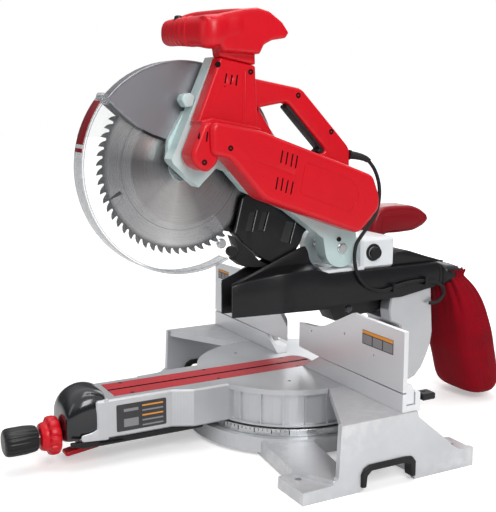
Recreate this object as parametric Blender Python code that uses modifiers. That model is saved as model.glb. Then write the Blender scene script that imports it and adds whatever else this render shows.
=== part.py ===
"""Sliding compound miter saw with a 305 mm blade, as separate named pieces.

Frame: +X is the user's right, +Y points away from the user, +Z is up.
The origin is the turntable's axis on the plane of the bench.
Numbers are millimetres; M turns them into Blender's metres when a mesh is made.
"""

import math

import bmesh
import bpy
from mathutils import Matrix, Vector

M = 0.001
GAP = 0.3

# Driving dimensions
TABLE_Z = 114.5
TABLE_R = 172.7
DRUM_R = 165.0
DRUM_Z = 47.5
HUB_R = 190.0
HUB_TOP = 33.0
BASE_HALF = 336.5
FENCE_Y = 11.0
FENCE_HALF = 333.5
FENCE_LOW_Z = 145.0
ARM_HALF = 50.0
ARM_FRONT = -397.0
BEVEL_Z = TABLE_Z
RAIL_X = 40.0
RAIL_Z = 258.0
RAIL_R = 10.0
CHUTE_HALF = 22.0
PIVOT_Y = 80.0
PIVOT_Z = 335.0
BLADE_Y = -217.0
BLADE_Z = 492.0
BLADE_R = 152.4
GUARD_R = 185.0
LOCK_Z = 52.0

PARTS = "sliding_miter_saw"
CUTTERS = "cutters"

SILVER = ("silver_paint", (0.62, 0.64, 0.66), 0.38, 0.7)
TABLE = ("machined_aluminium", (0.72, 0.73, 0.74), 0.3, 0.9)
FENCE = ("fence_aluminium", (0.85, 0.86, 0.87), 0.35, 0.7)
RED = ("red_plastic", (0.80, 0.02, 0.04), 0.3, 0.0)
KERF = ("kerf_red", (0.60, 0.02, 0.04), 0.4, 0.0)
BLACK = ("black_plastic", (0.015, 0.015, 0.018), 0.4, 0.0)
RUBBER = ("black_rubber", (0.02, 0.02, 0.02), 0.7, 0.0)
MINT = ("grey_casting", (0.60, 0.70, 0.69), 0.4, 0.3)
STEEL = ("steel", (0.55, 0.56, 0.57), 0.3, 1.0)
GUARD_STEEL = ("guard_steel", (0.42, 0.43, 0.44), 0.4, 0.8)
BLADE = ("blade_steel", (0.45, 0.43, 0.42), 0.25, 1.0)
CLEAR = ("clear_plastic", (0.85, 0.88, 0.90), 0.1, 0.0)
CLOTH = ("bag_cloth", (0.35, 0.0, 0.03), 0.9, 0.0)


def start():
    """An empty scene with one collection for the pieces and one for solids on their way to a boolean."""
    for obj in list(bpy.data.objects):
        bpy.data.objects.remove(obj, do_unlink=True)
    for name in (PARTS, CUTTERS):
        if name not in bpy.data.collections:
            bpy.context.scene.collection.children.link(bpy.data.collections.new(name))


def material(spec):
    """The Principled material of this name, made the first time it is asked for."""
    name, colour, roughness, metallic = spec
    mat = bpy.data.materials.get(name)
    if mat is None:
        mat = bpy.data.materials.new(name)
        mat.use_nodes = True
        shader = mat.node_tree.nodes["Principled BSDF"]
        shader.inputs["Base Color"].default_value = (*colour, 1.0)
        shader.inputs["Roughness"].default_value = roughness
        shader.inputs["Metallic"].default_value = metallic
    return mat


def new_object(name, mesh, spec=None):
    """A piece when it is given a material, and a solid for a boolean when it isn't."""
    obj = bpy.data.objects.new(name, mesh)
    bpy.data.collections[PARTS if spec else CUTTERS].objects.link(obj)
    if spec:
        mesh.materials.clear()
        mesh.materials.append(material(spec))
    else:
        obj.hide_render = True
        obj.display_type = "WIRE"
    return obj


def finish_mesh(bm, name):
    bmesh.ops.recalc_face_normals(bm, faces=bm.faces)
    mesh = bpy.data.meshes.new(name)
    bm.to_mesh(mesh)
    bm.free()
    return mesh


def box(name, low, high, spec=None, bevel=0.0):
    """A box between two corners."""
    bm = bmesh.new()
    bmesh.ops.create_cube(bm, size=1.0)
    size = [(h - l) * M for l, h in zip(low, high)]
    centre = [(h + l) * M / 2 for l, h in zip(low, high)]
    bmesh.ops.scale(bm, vec=size, verts=bm.verts)
    bmesh.ops.translate(bm, vec=centre, verts=bm.verts)
    obj = new_object(name, finish_mesh(bm, name), spec)
    if bevel:
        add_bevel(obj, bevel)
    return obj


def axis_turn(axis):
    """The turn that takes +Z onto this axis."""
    return {
        "X": Matrix.Rotation(math.radians(90), 4, "Y"),
        "Y": Matrix.Rotation(math.radians(-90), 4, "X"),
        "Z": Matrix.Identity(4),
    }[axis]


def cylinder(name, axis, centre, radius, low, high, spec=None, sides=32, top=None):
    """A cylinder or cone along an axis. The centre holds the two other coordinates, in order."""
    bm = bmesh.new()
    bmesh.ops.create_cone(
        bm,
        cap_ends=True,
        segments=sides,
        radius1=radius * M,
        radius2=(radius if top is None else top) * M,
        depth=(high - low) * M,
    )
    a, b = centre
    middle = (low + high) / 2
    place = {"X": (middle, a, b), "Y": (a, middle, b), "Z": (a, b, middle)}[axis]
    bm.transform(Matrix.Translation(Vector(place) * M) @ axis_turn(axis))
    obj = new_object(name, finish_mesh(bm, name), spec)
    round_shading(obj)
    return obj


def round_shading(obj):
    obj.data.shade_smooth()
    obj.data.set_sharp_from_angle(angle=math.radians(35))


def add_bevel(obj, width, segments=1, angle=40):
    mod = obj.modifiers.new("bevel", "BEVEL")
    mod.width = width * M
    mod.segments = segments
    mod.limit_method = "ANGLE"
    mod.angle_limit = math.radians(angle)


def flat(name, points, plane, low, high, spec=None, bevel=0.0, segments=1, holes=()):
    """An outline in a plane, YZ, XY or XZ, made solid between two places on the third axis."""
    curve = bpy.data.curves.new(name, "CURVE")
    curve.dimensions = "2D"
    curve.fill_mode = "BOTH"
    curve.extrude = (high - low) / 2 * M
    for ring in (points, *holes):
        spline = curve.splines.new("POLY")
        spline.points.add(len(ring) - 1)
        for point, (a, b) in zip(spline.points, ring):
            point.co = (a * M, b * M, 0, 1)
        spline.use_cyclic_u = True
    guide = bpy.data.objects.new(name, curve)
    bpy.context.scene.collection.objects.link(guide)
    bpy.context.view_layer.update()
    evaluated = guide.evaluated_get(bpy.context.evaluated_depsgraph_get())
    mesh = bpy.data.meshes.new_from_object(evaluated)
    bpy.data.objects.remove(guide)
    bm = bmesh.new()
    bm.from_mesh(mesh)
    bmesh.ops.remove_doubles(bm, verts=bm.verts, dist=1e-6)
    turn = {
        "XY": Matrix.Identity(4),
        "YZ": Matrix(((0, 0, 1, 0), (1, 0, 0, 0), (0, 1, 0, 0), (0, 0, 0, 1))),
        "XZ": Matrix(((1, 0, 0, 0), (0, 0, -1, 0), (0, 1, 0, 0), (0, 0, 0, 1))),
    }[plane]
    middle = (low + high) / 2 * M
    shift = {"XY": (0, 0, middle), "YZ": (middle, 0, 0), "XZ": (0, middle, 0)}[plane]
    bm.transform(Matrix.Translation(shift) @ turn)
    bm.normal_update()
    bmesh.ops.dissolve_limit(bm, angle_limit=0.001, verts=bm.verts, edges=bm.edges)
    obj = new_object(name, finish_mesh(bm, name), spec)
    if bevel:
        add_bevel(obj, bevel, segments)
    return obj


def turned(name, axis, centre, profile, spec=None, steps=32):
    """A profile of (radius, place along the axis) pairs, given from low to high, turned full circle."""
    bm = bmesh.new()
    ring = [bm.verts.new((r * M, 0, h * M)) for r, h in reversed(profile)]
    for a, b in zip(ring, ring[1:]):
        bm.edges.new((a, b))
    mesh = bpy.data.meshes.new(name)
    bm.to_mesh(mesh)
    bm.free()
    obj = new_object(name, mesh, spec)
    screw = obj.modifiers.new("screw", "SCREW")
    screw.steps = steps
    screw.render_steps = steps
    screw.use_merge_vertices = True
    screw.merge_threshold = 1e-6
    a, b = centre
    place = {"X": (0, a, b), "Y": (a, 0, b), "Z": (a, b, 0)}[axis]
    obj.matrix_world = Matrix.Translation(Vector(place) * M) @ axis_turn(axis)
    return obj


def closed_ring(name, axis, centre, inner, outer, low, high, spec, sides=40):
    """A plain sleeve: a cylinder with a bore."""
    obj = cylinder(name, axis, centre, outer, low, high, spec, sides)
    cut(obj, cylinder(name + "_bore", axis, centre, inner, low - 1, high + 1, None, sides))
    return obj


def tube(name, route, radius, spec, resolution=2):
    """A round bar or lead along a route."""
    curve = bpy.data.curves.new(name, "CURVE")
    curve.dimensions = "3D"
    curve.bevel_depth = radius * M
    curve.bevel_resolution = resolution
    curve.use_fill_caps = True
    spline = curve.splines.new("POLY")
    spline.points.add(len(route) - 1)
    for point, place in zip(spline.points, route):
        point.co = (*(Vector(place) * M), 1)
    guide = bpy.data.objects.new(name, curve)
    bpy.context.scene.collection.objects.link(guide)
    bpy.context.view_layer.update()
    evaluated = guide.evaluated_get(bpy.context.evaluated_depsgraph_get())
    mesh = bpy.data.meshes.new_from_object(evaluated)
    bpy.data.objects.remove(guide)
    bm = bmesh.new()
    bm.from_mesh(mesh)
    bmesh.ops.remove_doubles(bm, verts=bm.verts, dist=1e-6)
    obj = new_object(name, finish_mesh(bm, name), spec)
    round_shading(obj)
    return obj


def bake(obj):
    """Applies an object's modifiers and merges points that came out in one place."""
    bpy.context.view_layer.update()
    evaluated = obj.evaluated_get(bpy.context.evaluated_depsgraph_get())
    mesh = bpy.data.meshes.new_from_object(evaluated)
    obj.modifiers.clear()
    bm = bmesh.new()
    bm.from_mesh(mesh)
    bmesh.ops.remove_doubles(bm, verts=bm.verts, dist=5e-6)
    bmesh.ops.dissolve_degenerate(bm, dist=5e-6, edges=bm.edges)
    bm.to_mesh(mesh)
    bm.free()
    obj.data = mesh


def boolean(obj, other, operation):
    """One boolean, applied at once. The other solid is used up."""
    if obj.modifiers:
        bake(obj)
    if other.modifiers:
        bake(other)
    mod = obj.modifiers.new(operation.lower(), "BOOLEAN")
    mod.operation = operation
    mod.object = other
    mod.solver = "EXACT"
    bake(obj)
    bpy.data.objects.remove(other)


def cut(obj, *others):
    for other in others:
        boolean(obj, other, "DIFFERENCE")


def join(obj, *others):
    for other in others:
        boolean(obj, other, "UNION")


def origin_at(obj, place):
    """Moves an object's origin to a joint's axis and leaves its shape where it is."""
    shift = Vector(place) * M
    obj.data.transform(Matrix.Translation(-shift))
    obj.location = shift


def share_origin(place, *names):
    """Gives the pieces of a moving body one origin, on its joint's axis."""
    for name in names:
        origin_at(bpy.data.objects[name], place)


def smooth_route(points, step):
    """Places about a step apart on a smooth curve through the route's own points."""
    places = [Vector(p) for p in points]
    places = [places[0] * 2 - places[1], *places, places[-1] * 2 - places[-2]]
    route = []
    for p0, p1, p2, p3 in zip(places, places[1:], places[2:], places[3:]):
        count = max(1, round((p2 - p1).length / step))
        for k in range(count):
            t = k / count
            route.append(
                0.5
                * (
                    2 * p1
                    + (p2 - p0) * t
                    + (2 * p0 - 5 * p1 + 4 * p2 - p3) * t**2
                    + (3 * p1 - p0 - 3 * p2 + p3) * t**3
                )
            )
    route.append(places[-2])
    return route


def arc(centre, radius, start, end, count):
    """Points on an arc, with angles in degrees from the first axis towards the second."""
    a, b = centre
    angles = [start + (end - start) * k / (count - 1) for k in range(count)]
    turns = [math.radians(t) for t in angles]
    return [(a + radius * math.cos(t), b + radius * math.sin(t)) for t in turns]


def mirrored(points):
    return [(-a, b) for a, b in reversed(points)]


# Base: one casting with two side tables, their end walls and four feet

END_WALL = [
    (-175, 0.3), (-175, 20.4), (-121, 22), (-110, 31), (-106, TABLE_Z - 0.3), (39.6, TABLE_Z - 0.3),
    (43, 104), (106, 52), (114, 44), (124, 37), (136, 32), (160, 32), (160, 0.3), (37, 0.3), (37, 33),
    (31, 41), (17, 43), (-54, 43), (-64, 38), (-69, 29), (-69, 0.3),
]
GRIP = [
    (36.7, 6), (36.7, 32.5), (30.7, 40.5), (17, 42.7), (-54, 42.7), (-63.8, 37.8), (-68.7, 28.8),
    (-68.7, 6), (-60, 6), (-58, 26), (-50, 33), (14, 33), (24, 30), (27, 22), (28, 6),
]
WALL_IN = 326.5


def side_table(side):
    """The solids of one side table, for side +1 or -1."""
    tag = "right" if side > 0 else "left"

    def plan(points):
        return points if side > 0 else mirrored(points)

    def span(a, b):
        return (a, b) if side > 0 else (-b, -a)

    outer = BASE_HALF - 1
    table = [(140, -10), (184, -26.5), (194, -33), (outer + 0.6, -105.6), (outer + 0.6, 40), (140, 40)]
    foot = [(262, -174.5), (outer, -174.5), (outer, -110), (262, -110)]
    front_leg = [(100, -130), (264, -150), (outer - 2, -118), (outer - 2, -84), (150, -50)]
    rear_leg = [(100, 60), (170, 36), (outer, 50), (outer, 159), (276, 159), (268, 84), (150, 100)]
    pillar = [(182, 14), (204, 14), (204, 36), (182, 36)]
    rib = [(200, 20), (outer - 3, 20), (outer - 3, 28), (200, 28)]
    solids = [
        flat("table_" + tag, plan(table), "XY", 102, TABLE_Z),
        flat("wall_" + tag, END_WALL, "YZ", *span(WALL_IN, BASE_HALF)),
        flat("front_foot_" + tag, plan(foot), "XY", 0, 20),
        flat("front_leg_" + tag, plan(front_leg), "XY", 0.6, 28),
        flat("rear_leg_" + tag, plan(rear_leg), "XY", 0, 30),
        flat("pillar_" + tag, plan(pillar), "XY", 20, 110),
        flat("rib_" + tag, plan(rib), "XY", 90, 108),
    ]
    bolts = [
        cylinder("foot_hole_%s_%s" % (tag, place), "Z", (side * x, y), 5.5, -5, 40, None, 20)
        for place, x, y in (("front", 286, -152), ("rear", 304, 138))
    ]
    return solids, bolts


def base():
    """The base casting, its carrying grips, the miter scale and the lower fences."""
    casting = cylinder("base_casting", "Z", (0, 0), HUB_R, 6, HUB_TOP, SILVER, 72)
    join(casting, cylinder("hub_foot", "Z", (0, 0), 70, 0, 10, None, 32))
    bolt_holes = []
    for side in (1, -1):
        solids, holes = side_table(side)
        join(casting, *solids)
        bolt_holes += holes
    cut(casting, cylinder("turntable_room", "Z", (0, 0), TABLE_R + 1.0, 62, 200, None, 96))
    cut(casting, cylinder("pivot_thread", "Z", (0, 0), 8.3, 12, 60, None, 24))
    cut(casting, *bolt_holes)
    for side, tag in ((1, "right"), (-1, "left")):
        low, high = sorted((side * 321, side * 341))
        grip = flat("base_grip_" + tag, GRIP, "YZ", low, high, RUBBER, 1.5)
        cut(grip, box("grip_room_" + tag, (-400, -80, -20), (400, 60, 8)))
    closed_ring("miter_scale", "Z", (0, 0), 150, 178, HUB_TOP + GAP, 45.8, BLACK, 72)
    bolt = cylinder("turntable_bolt", "Z", (0, 0), 8, 12.3, 60, STEEL, 24)
    join(bolt, cylinder("turntable_bolt_head", "Z", (0, 0), 14, 59, 70, None, 24))


# Fences: the lower ones are bolted to the side tables and the upper ones slide along them

def relief(name):
    """The room behind the fence faces that the blade needs at the largest miter angles."""
    return flat(name, [(-16, 8), (-150, 84), (150, 84), (16, 8)], "XY", 100, 300)


def lower_fence(side):
    """A rail with a channel along its top, cut back at its inner end for the tilted blade."""
    tag = "right" if side > 0 else "left"
    inner_foot, inner_top = (22, 93) if side > 0 else (49, 107)
    foot = TABLE_Z + GAP
    section = [
        (FENCE_Y, foot), (46, foot), (46, FENCE_LOW_Z), (37, FENCE_LOW_Z), (37, 125), (19, 125),
        (19, FENCE_LOW_Z), (FENCE_Y, FENCE_LOW_Z),
    ]
    low, high = sorted((side * inner_foot, side * FENCE_HALF))
    obj = flat("lower_fence_" + tag, section, "YZ", low, high, FENCE)
    slant = [(inner_foot - 9, 105), (inner_foot - 5.6, 105), (inner_top + 2.3, 149), (inner_foot - 9, 149)]
    rear = [(0, 124), (114, 124), (134, 150), (0, 150)]
    if side < 0:
        slant, rear = mirrored(slant), mirrored(rear)
    cut(obj, flat("lower_slant_" + tag, slant, "XZ", 0, 60))
    cut(obj, flat("lower_rear_" + tag, rear, "XZ", 28, 60))
    cut(obj, relief("lower_relief_" + tag))
    return obj


UPPER_RIGHT = [
    (3.5, 150), (93, 146), (FENCE_HALF, 147.5), (FENCE_HALF, 247), (192, 248), (119, 213), (104, 206),
    (78, 200), (48, 197), (3.5, 195),
]
UPPER_LEFT = [
    (-16, 149), (-107, 146), (-FENCE_HALF, 147.5), (-331, 253), (-207, 257), (-49, 198), (-16, 170),
]


def upper_fence(side):
    """A tall fence plate with the slide block that runs in the lower fence's channel."""
    tag = "right" if side > 0 else "left"
    outline = UPPER_RIGHT if side > 0 else UPPER_LEFT
    obj = flat("upper_fence_" + tag, outline, "XZ", FENCE_Y, 19.5, FENCE)
    low, high = sorted((side * 136, side * (FENCE_HALF - 3)))
    section = [(20, 126), (36, 126), (36, 148), (30, 159), (18, 159), (18, 152), (20, 150)]
    block = flat("slide_block_" + tag, section, "YZ", low, high)
    join(obj, block)
    cut(obj, relief("upper_relief_" + tag))
    for x, z in ((63, 188), (254, 190), (169, 207)) if side > 0 else ((-302, 188),):
        cut(obj, cylinder("fence_hole_%d" % x, "Y", (x, z), 2.2, 0, 30, None, 12))
    return obj


def fence_lock(side):
    """The lever behind a fence that clamps its upper part."""
    tag = "right" if side > 0 else "left"
    x = side * 318
    obj = cylinder("fence_lock_" + tag, "Y", (x, 134), 7, 46 + GAP, 66, BLACK, 20)
    low, high = sorted((x - side * 8, x + side * 16))
    lever = box("fence_lever_" + tag, (low, 52, 128), (high, 78, 139), None, 2)
    join(obj, lever)
    origin_at(obj, (x, 60, 134))
    return obj


def fences():
    for side in (1, -1):
        lower_fence(side)
        upper_fence(side)
        fence_lock(side)


# Turntable: the round table, its drum and the arm towards the user, in one casting

def turntable():
    table = cylinder("turntable", "Z", (0, 0), TABLE_R, 105, TABLE_Z, TABLE, 96)
    join(table, cylinder("drum", "Z", (0, 0), DRUM_R, DRUM_Z, 106, None, 72))
    join(table, cylinder("drum_lip", "Z", (0, 0), 171.5, DRUM_Z + 0.2, 51, None, 72))
    arm_right = [(0, ARM_FRONT), (ARM_HALF, ARM_FRONT), (ARM_HALF, -262), (66, -228), (66, -120), (0, -120)]
    arm = flat("arm", arm_right + mirrored(arm_right)[1:-1], "XY", DRUM_Z - 0.1, TABLE_Z - 0.1, None, 3)
    join(table, arm)
    join(table, box("arm_tongue", (-40, -424, DRUM_Z + 0.3), (40, ARM_FRONT + 5, 60)))
    join(table, box("rear_boss", (-55, 130, 50), (55, 205, 99)))
    join(table, cylinder("rear_trunnion", "Y", (0, BEVEL_Z), 30, 176, 213))
    join(table, cylinder("rear_flange", "Y", (0, BEVEL_Z), 56, 200, 213, None, 40))
    for side in (1, -1):
        for k in range(8):
            angle = -90 + side * (29.5 + 13.3 * k)
            rib = box("rib_%d_%d" % (side, k), (DRUM_R - 3, -1.2, DRUM_Z + 2.5), (DRUM_R + 5.5, 1.2, 107))
            rib.data.transform(Matrix.Rotation(math.radians(angle), 4, "Z"))
            join(table, rib)
        low, high = sorted((side * 38, side * 160))
        room = cylinder("drum_room_%d" % side, "Z", (0, 0), 152, 20, 98, None, 48)
        boolean(room, box("drum_half_%d" % side, (low, -160, 0), (high, 160, 150)), "INTERSECT")
        cut(table, room)
    cut(table, cylinder("pivot_bore", "Z", (0, 0), 8.5, 20, 62, None, 24))
    cut(table, cylinder("pivot_head_room", "Z", (0, 0), 15, 58, 90, None, 24))
    cut(table, box("blade_trough", (-27, -350, 86), (27, 40, 140)))
    cut(table, flat("plate_pocket", plate_outline(ARM_HALF - 14.6, -360, 45.5), "XY", 111, 130))
    cut(table, cylinder("bevel_bore", "Y", (0, BEVEL_Z), 12.3, 178, 240, None, 28))
    for angle in (60, -60):
        x, y = 118 * math.sin(math.radians(angle)), -118 * math.cos(math.radians(angle))
        cut(table, cylinder("table_hole_%d" % angle, "Z", (x, y), 3.5, 112, 130, None, 14))
    return table


def plate_outline(half, front, rear):
    """The outline of both kerf plates together: a long bar with a rounded far end."""
    bow = arc((0, rear - half * 0.55), half, 0, 180, 13)
    bow = [(x, rear - half * 0.55 + (y - rear + half * 0.55) * 0.55) for x, y in bow]
    return [(-half, front), (half, front), *bow]


def kerf_plates():
    for side, tag in ((1, "right"), (-1, "left")):
        outline = plate_outline(ARM_HALF - 15, -359.6, 45)
        plate = flat("kerf_plate_" + tag, outline, "XY", 111.3, TABLE_Z, KERF)
        low, high = sorted((side * 3, side * 60))
        boolean(plate, box("kerf_half_" + tag, (low, -400, 100), (high, 100, 130)), "INTERSECT")
        for y in (-326, -163, 2):
            hole = "plate_screw_%s_%d" % (tag, y)
            cut(plate, cylinder(hole, "Z", (side * 30, y), 2.6, 113, 120, None, 12))


def arm_end():
    """What closes the arm's end: the shroud, the lower cover, and the miter lock's own pieces."""
    outline = [
        (-446, 42), (-446, 98), (-441, 115), (-430, 126), (-412, 131), (-398, 130), (-384, 122),
        (-374, 115.2), (-390, 60), (-400, 42),
    ]
    shroud = flat("arm_end_shroud", outline, "YZ", -48, 48, BLACK)
    add_bevel(shroud, 7, 2, 20)
    cut(shroud, box("arm_room", (-60, ARM_FRONT - 0.4, 20), (60, -360, 115.2)))
    cut(shroud, box("tongue_room", (-60, -424.5, 20), (60, -390, 60.4)))
    cut(shroud, cylinder("rod_bore", "Y", (0, LOCK_Z), 7.4, -460, -415, None, 20))
    box("arm_bottom_cover", (-44, -423, 33.5), (44, -198, 47.2), BLACK, 3)
    cylinder("miter_lock_rod", "Y", (0, LOCK_Z), 7, -500, -427, STEEL, 20)
    profile = [
        (0, -541), (20, -541), (23.5, -536), (24, -505), (21.5, -488), (18, -484.5), (7.4, -484.5),
        (7.4, -500.5), (0, -500.5),
    ]
    turned("miter_lock_knob", "Y", (0, LOCK_Z), profile, BLACK, 24)
    profile = [
        (7.4, -481), (20, -481), (24, -474), (24, -470), (32, -467), (33, -462), (33, -455), (30, -450.5),
        (20, -447), (7.4, -447), (7.4, -481),
    ]
    ring = turned("fine_adjust_ring", "Y", (0, LOCK_Z), profile, RED, 32)
    for k in range(12):
        angle = math.radians(30 * k)
        x, z = 34.5 * math.cos(angle), LOCK_Z + 34.5 * math.sin(angle)
        cut(ring, cylinder("ring_notch_%d" % k, "Y", (x, z), 3.2, -469, -449, None, 10))
    outline = [
        (-382, 20), (-379, 26), (-382, 32), (-390, 32), (-420, 24), (-439, 21), (-441, 16), (-437, 13),
        (-420, 15),
    ]
    lever = flat("detent_lever", outline, "YZ", -11, 11, RED, 1.5)
    origin_at(lever, (0, -386, 27))


# Bevel: the stop plate and its shaft turn with the arm to the left, and the arm turns on them to the right

def bevel():
    stop = cylinder("bevel_shaft", "Y", (0, BEVEL_Z), 12, 179, 303, STEEL, 28)
    join(stop, cylinder("stop_plate", "Y", (0, BEVEL_Z), 48, 213.4, 218, None, 40))
    origin_at(stop, (0, 200, BEVEL_Z))

    outline = [
        (221, 172), (196, 182), (193, 205), (205, 280), (212, 286.4), (287, 286.4), (293, 281), (297, 213),
        (302, 150), (298, 125), (289, 103), (277, 80), (262, 64), (246, 58.5), (221, 58.5),
    ]
    arm = flat("bevel_arm", outline, "YZ", -55.5, 55.5, SILVER, 3)
    cut(arm, box("chute_channel", (-26, 150, 184), (26, 340, 320)))
    for side in (1, -1):
        rail = (side * RAIL_X, RAIL_Z)
        cut(arm, cylinder("bearing_bore_%d" % side, "Y", rail, 13.3, 170, 340, None, 28))
        tag = "right" if side > 0 else "left"
        closed_ring("linear_bearing_" + tag, "Y", rail, RAIL_R + 0.3, 13, 207, 291, STEEL, 28)
    cut(arm, cylinder("shaft_bore", "Y", (0, BEVEL_Z), 12.3, 200, 340, None, 28))
    cut(arm, cylinder("lock_stud_bore", "X", (250, 212), 4.3, -80, -30, None, 16))
    origin_at(arm, (0, 220, BEVEL_Z))

    profile = [(0, 303.4), (12.3, 303.4), (22, 304), (22, 318), (20, 322), (0, 322)]
    lever = turned("bevel_lock_lever", "Y", (0, BEVEL_Z), profile, BLACK, 28)
    outline = [(-6, 124), (-92, 166), (-101, 161), (-100, 151), (-14, 104)]
    join(lever, flat("bevel_lever_arm", outline, "XZ", 308, 319.5, None, 3))

    profile = [(0, -84), (13, -84), (15, -80), (15, -66), (10, -60), (4, -60), (4, -34), (0, -34)]
    turned("slide_lock_knob", "X", (250, 212), profile, BLACK, 24)


# Carriage: the rails, the hinge base, the dust chute and what hangs on it

CHUTE = [
    (-130, 219), (-130, 281), (15, 338), (24, 338), (28, 315), (44, 297), (64, 290.3), (305, 290.3),
    (305, 236), (245, 215), (187, 199), (90, 189), (76, 213),
]


def dust_chute():
    """A duct behind the blade, open towards it and above, with the covers that hide the rails."""
    obj = flat("dust_chute", CHUTE, "YZ", -CHUTE_HALF, CHUTE_HALF, BLACK)
    for side, foot in ((1, 230), (-1, 247)):
        low, high = sorted((side * 57, side * 60))
        skirt = [(-20, foot), (-20, 290.2), (304.8, 290.2), (304.8, foot + 14), (217, foot)]
        skirt = flat("skirt_%d" % side, skirt, "YZ", low, high)
        low, high = sorted((side * 20.5, side * 59))
        join(skirt, box("skirt_top_%d" % side, (low, -19.5, 287.2), (high, 304.5, 290)))
        join(skirt, box("rear_web_%d" % side, (low, 301.5, 250), (high, 304.6, 288.5)))
        join(obj, skirt)
        rail = (side * RAIL_X, RAIL_Z)
        cut(obj, cylinder("web_hole_%d" % side, "Y", rail, RAIL_R + 0.4, 295, 310, None, 28))
    mouth = [
        (-140, 200), (-140, 400), (64, 400), (64, 286), (320, 286), (320, 244), (245, 219),
        (187, 203), (96, 194), (80, 216.5), (-84, 221.5), (-90, 200),
    ]
    cut(obj, flat("chute_room", mouth, "YZ", -19, 19))


def hinge_base():
    """The white casting that holds the rails' front ends and carries the head's hinge."""
    obj = box("hinge_base", (-45, 124, 290.8), (58, 200, 349), MINT, 5)
    ear = [*arc((PIVOT_Y, PIVOT_Z), 30, -60, 200, 14), (40, 291), (130, 291)]
    join(obj, flat("hinge_ear", ear[::-1], "YZ", -46, -26))
    join(obj, box("hinge_floor", (-56, 0, 290.8), (58, 130, 296.5)))
    cut(obj, box("chute_gap", (-22.5, -2, 280), (22.5, 64.6, 300)))
    for side in (1, -1):
        low, high = sorted((side * 25, side * 56))
        join(obj, box("rail_clamp_%d" % side, (low, -46, 243), (high, -22, 296)))
        join(obj, box("clamp_bridge_%d" % side, (low, -45.5, 290.9), (high, 10, 296.4)))
        rail = (side * RAIL_X, RAIL_Z)
        cut(obj, cylinder("clamp_bore_%d" % side, "Y", rail, RAIL_R + 0.3, -60, 0, None, 28))
    cut(obj, cylinder("hinge_bore", "X", (PIVOT_Y, PIVOT_Z), 8.3, -70, 0, None, 24))
    return obj


def carriage():
    hinge_base()
    dust_chute()
    for side, tag in ((1, "right"), (-1, "left")):
        cylinder("rail_" + tag, "Y", (side * RAIL_X, RAIL_Z), RAIL_R, -45, 328, STEEL, 28)
    cylinder("hinge_pin", "X", (PIVOT_Y, PIVOT_Z), 8, -50, 62, STEEL, 24)
    closed_ring("return_spring", "X", (PIVOT_Y, PIVOT_Z), 8.6, 15, -25, 20, STEEL, 24)
    pin = cylinder("lock_down_pin", "X", (150, 322), 5, 58.3, 66, BLACK, 20)
    join(pin, cylinder("lock_down_head", "X", (150, 322), 11, 61, 70, None, 24))
    origin_at(pin, (64, 150, 322))
    cover = flat("rear_cover", [
        (194, 349.5), (214, 362), (262, 396), (304, 396), (341, 387), (376, 356), (370, 341), (328, 322),
        (280, 323), (262, 305), (204, 305), (204, 349.5),
    ], "YZ", -74, -16, RED, 5, 2)
    cut(cover, box("cover_seat", (-200, 100, 200), (200, 200.5, 349.4)))


def bag():
    """The collar and elbow behind the chute, and the dust bag that hangs from them."""
    outline = [(-22, 237), (22, 237), (27, 242), (27, 284), (22, 289), (-22, 289), (-27, 284), (-27, 242)]
    collar = flat("rubber_collar", outline, "XZ", 305.4, 330, RUBBER, 2)
    cut(collar, box("collar_room", (-17, 300, 246), (17, 340, 282)))
    outline = [
        (330.4, 240), (330.4, 288), (352, 290), (378, 280), (390, 268), (390, 262), (362, 262), (352, 256),
        (346, 240),
    ]
    flat("dust_elbow", outline, "YZ", -24, 56, BLACK, 4, 2)


def dust_bag():
    """The bag is plain here: its cloth hangs from the elbow, and slopes back to pass the base's feet."""
    outline = [
        (362, 261.6), (388, 261.6), (404, 250), (430, 200), (448, 130), (457, 80), (458, 40), (452, 18),
        (438, 11), (392, 11), (380, 20), (364, 60), (347, 114), (347, 190), (352, 240),
    ]
    flat("dust_bag", outline, "YZ", -36, 98, CLOTH, 12, 2)


# Head: the casting that swings on the hinge, with the motor, its covers and the handles

GEAR_CASE = [
    (-182, 674), (-250, 525), (-259, 508), (-255, 500), (-210, 460), (-176, 492), (-150, 483),
    (-117, 447), (-86, 434), (-30, 408), (40, 356), *arc((PIVOT_Y, PIVOT_Z), 36, 190, 380, 14),
    (104, 400), (60, 450), (-30, 498), (-66, 546), (-94, 585), (-106, 602), (-114, 668),
]
MOTOR = [
    (-245, 517), (-215, 487), (-176, 513), (-114, 438), (79, 369), (95, 383), (124, 411), (124, 434),
    (109, 472), (63, 489), (-122, 555), (-205, 571), (-222, 569),
]
COLUMN = [(-225, 570), (-183, 673), (-117, 660), (-114, 552.8), (-122, 555.6), (-205, 571.6), (-222, 569.6)]


def gear_case():
    """The main casting: gear case, arbor boss, the guard's bearing and the arm down to the hinge."""
    obj = flat("gear_case", GEAR_CASE, "YZ", 24, 54.6, MINT)
    boss = cylinder("guard_boss", "X", (BLADE_Y, BLADE_Z), 94, 14.4, 26, None, 40)
    limit = [
        (-251, 538), (-254, 503), (-212, 466), (-176, 495), (-120, 474), (-80, 520), (-100, 640),
        (-190, 640),
    ]
    boolean(boss, flat("boss_limit", limit, "YZ", 0, 40), "INTERSECT")
    join(obj, boss)
    cut(obj, cylinder("spindle_bore", "X", (BLADE_Y, BLADE_Z), 12.8, 0, 45, None, 28))
    cut(obj, cylinder("pin_bore", "X", (PIVOT_Y, PIVOT_Z), 8.4, 0, 80, None, 24))
    cut(obj, cylinder("spring_room", "X", (PIVOT_Y, PIVOT_Z), 15.5, 0, 22, None, 24))
    return obj


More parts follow.
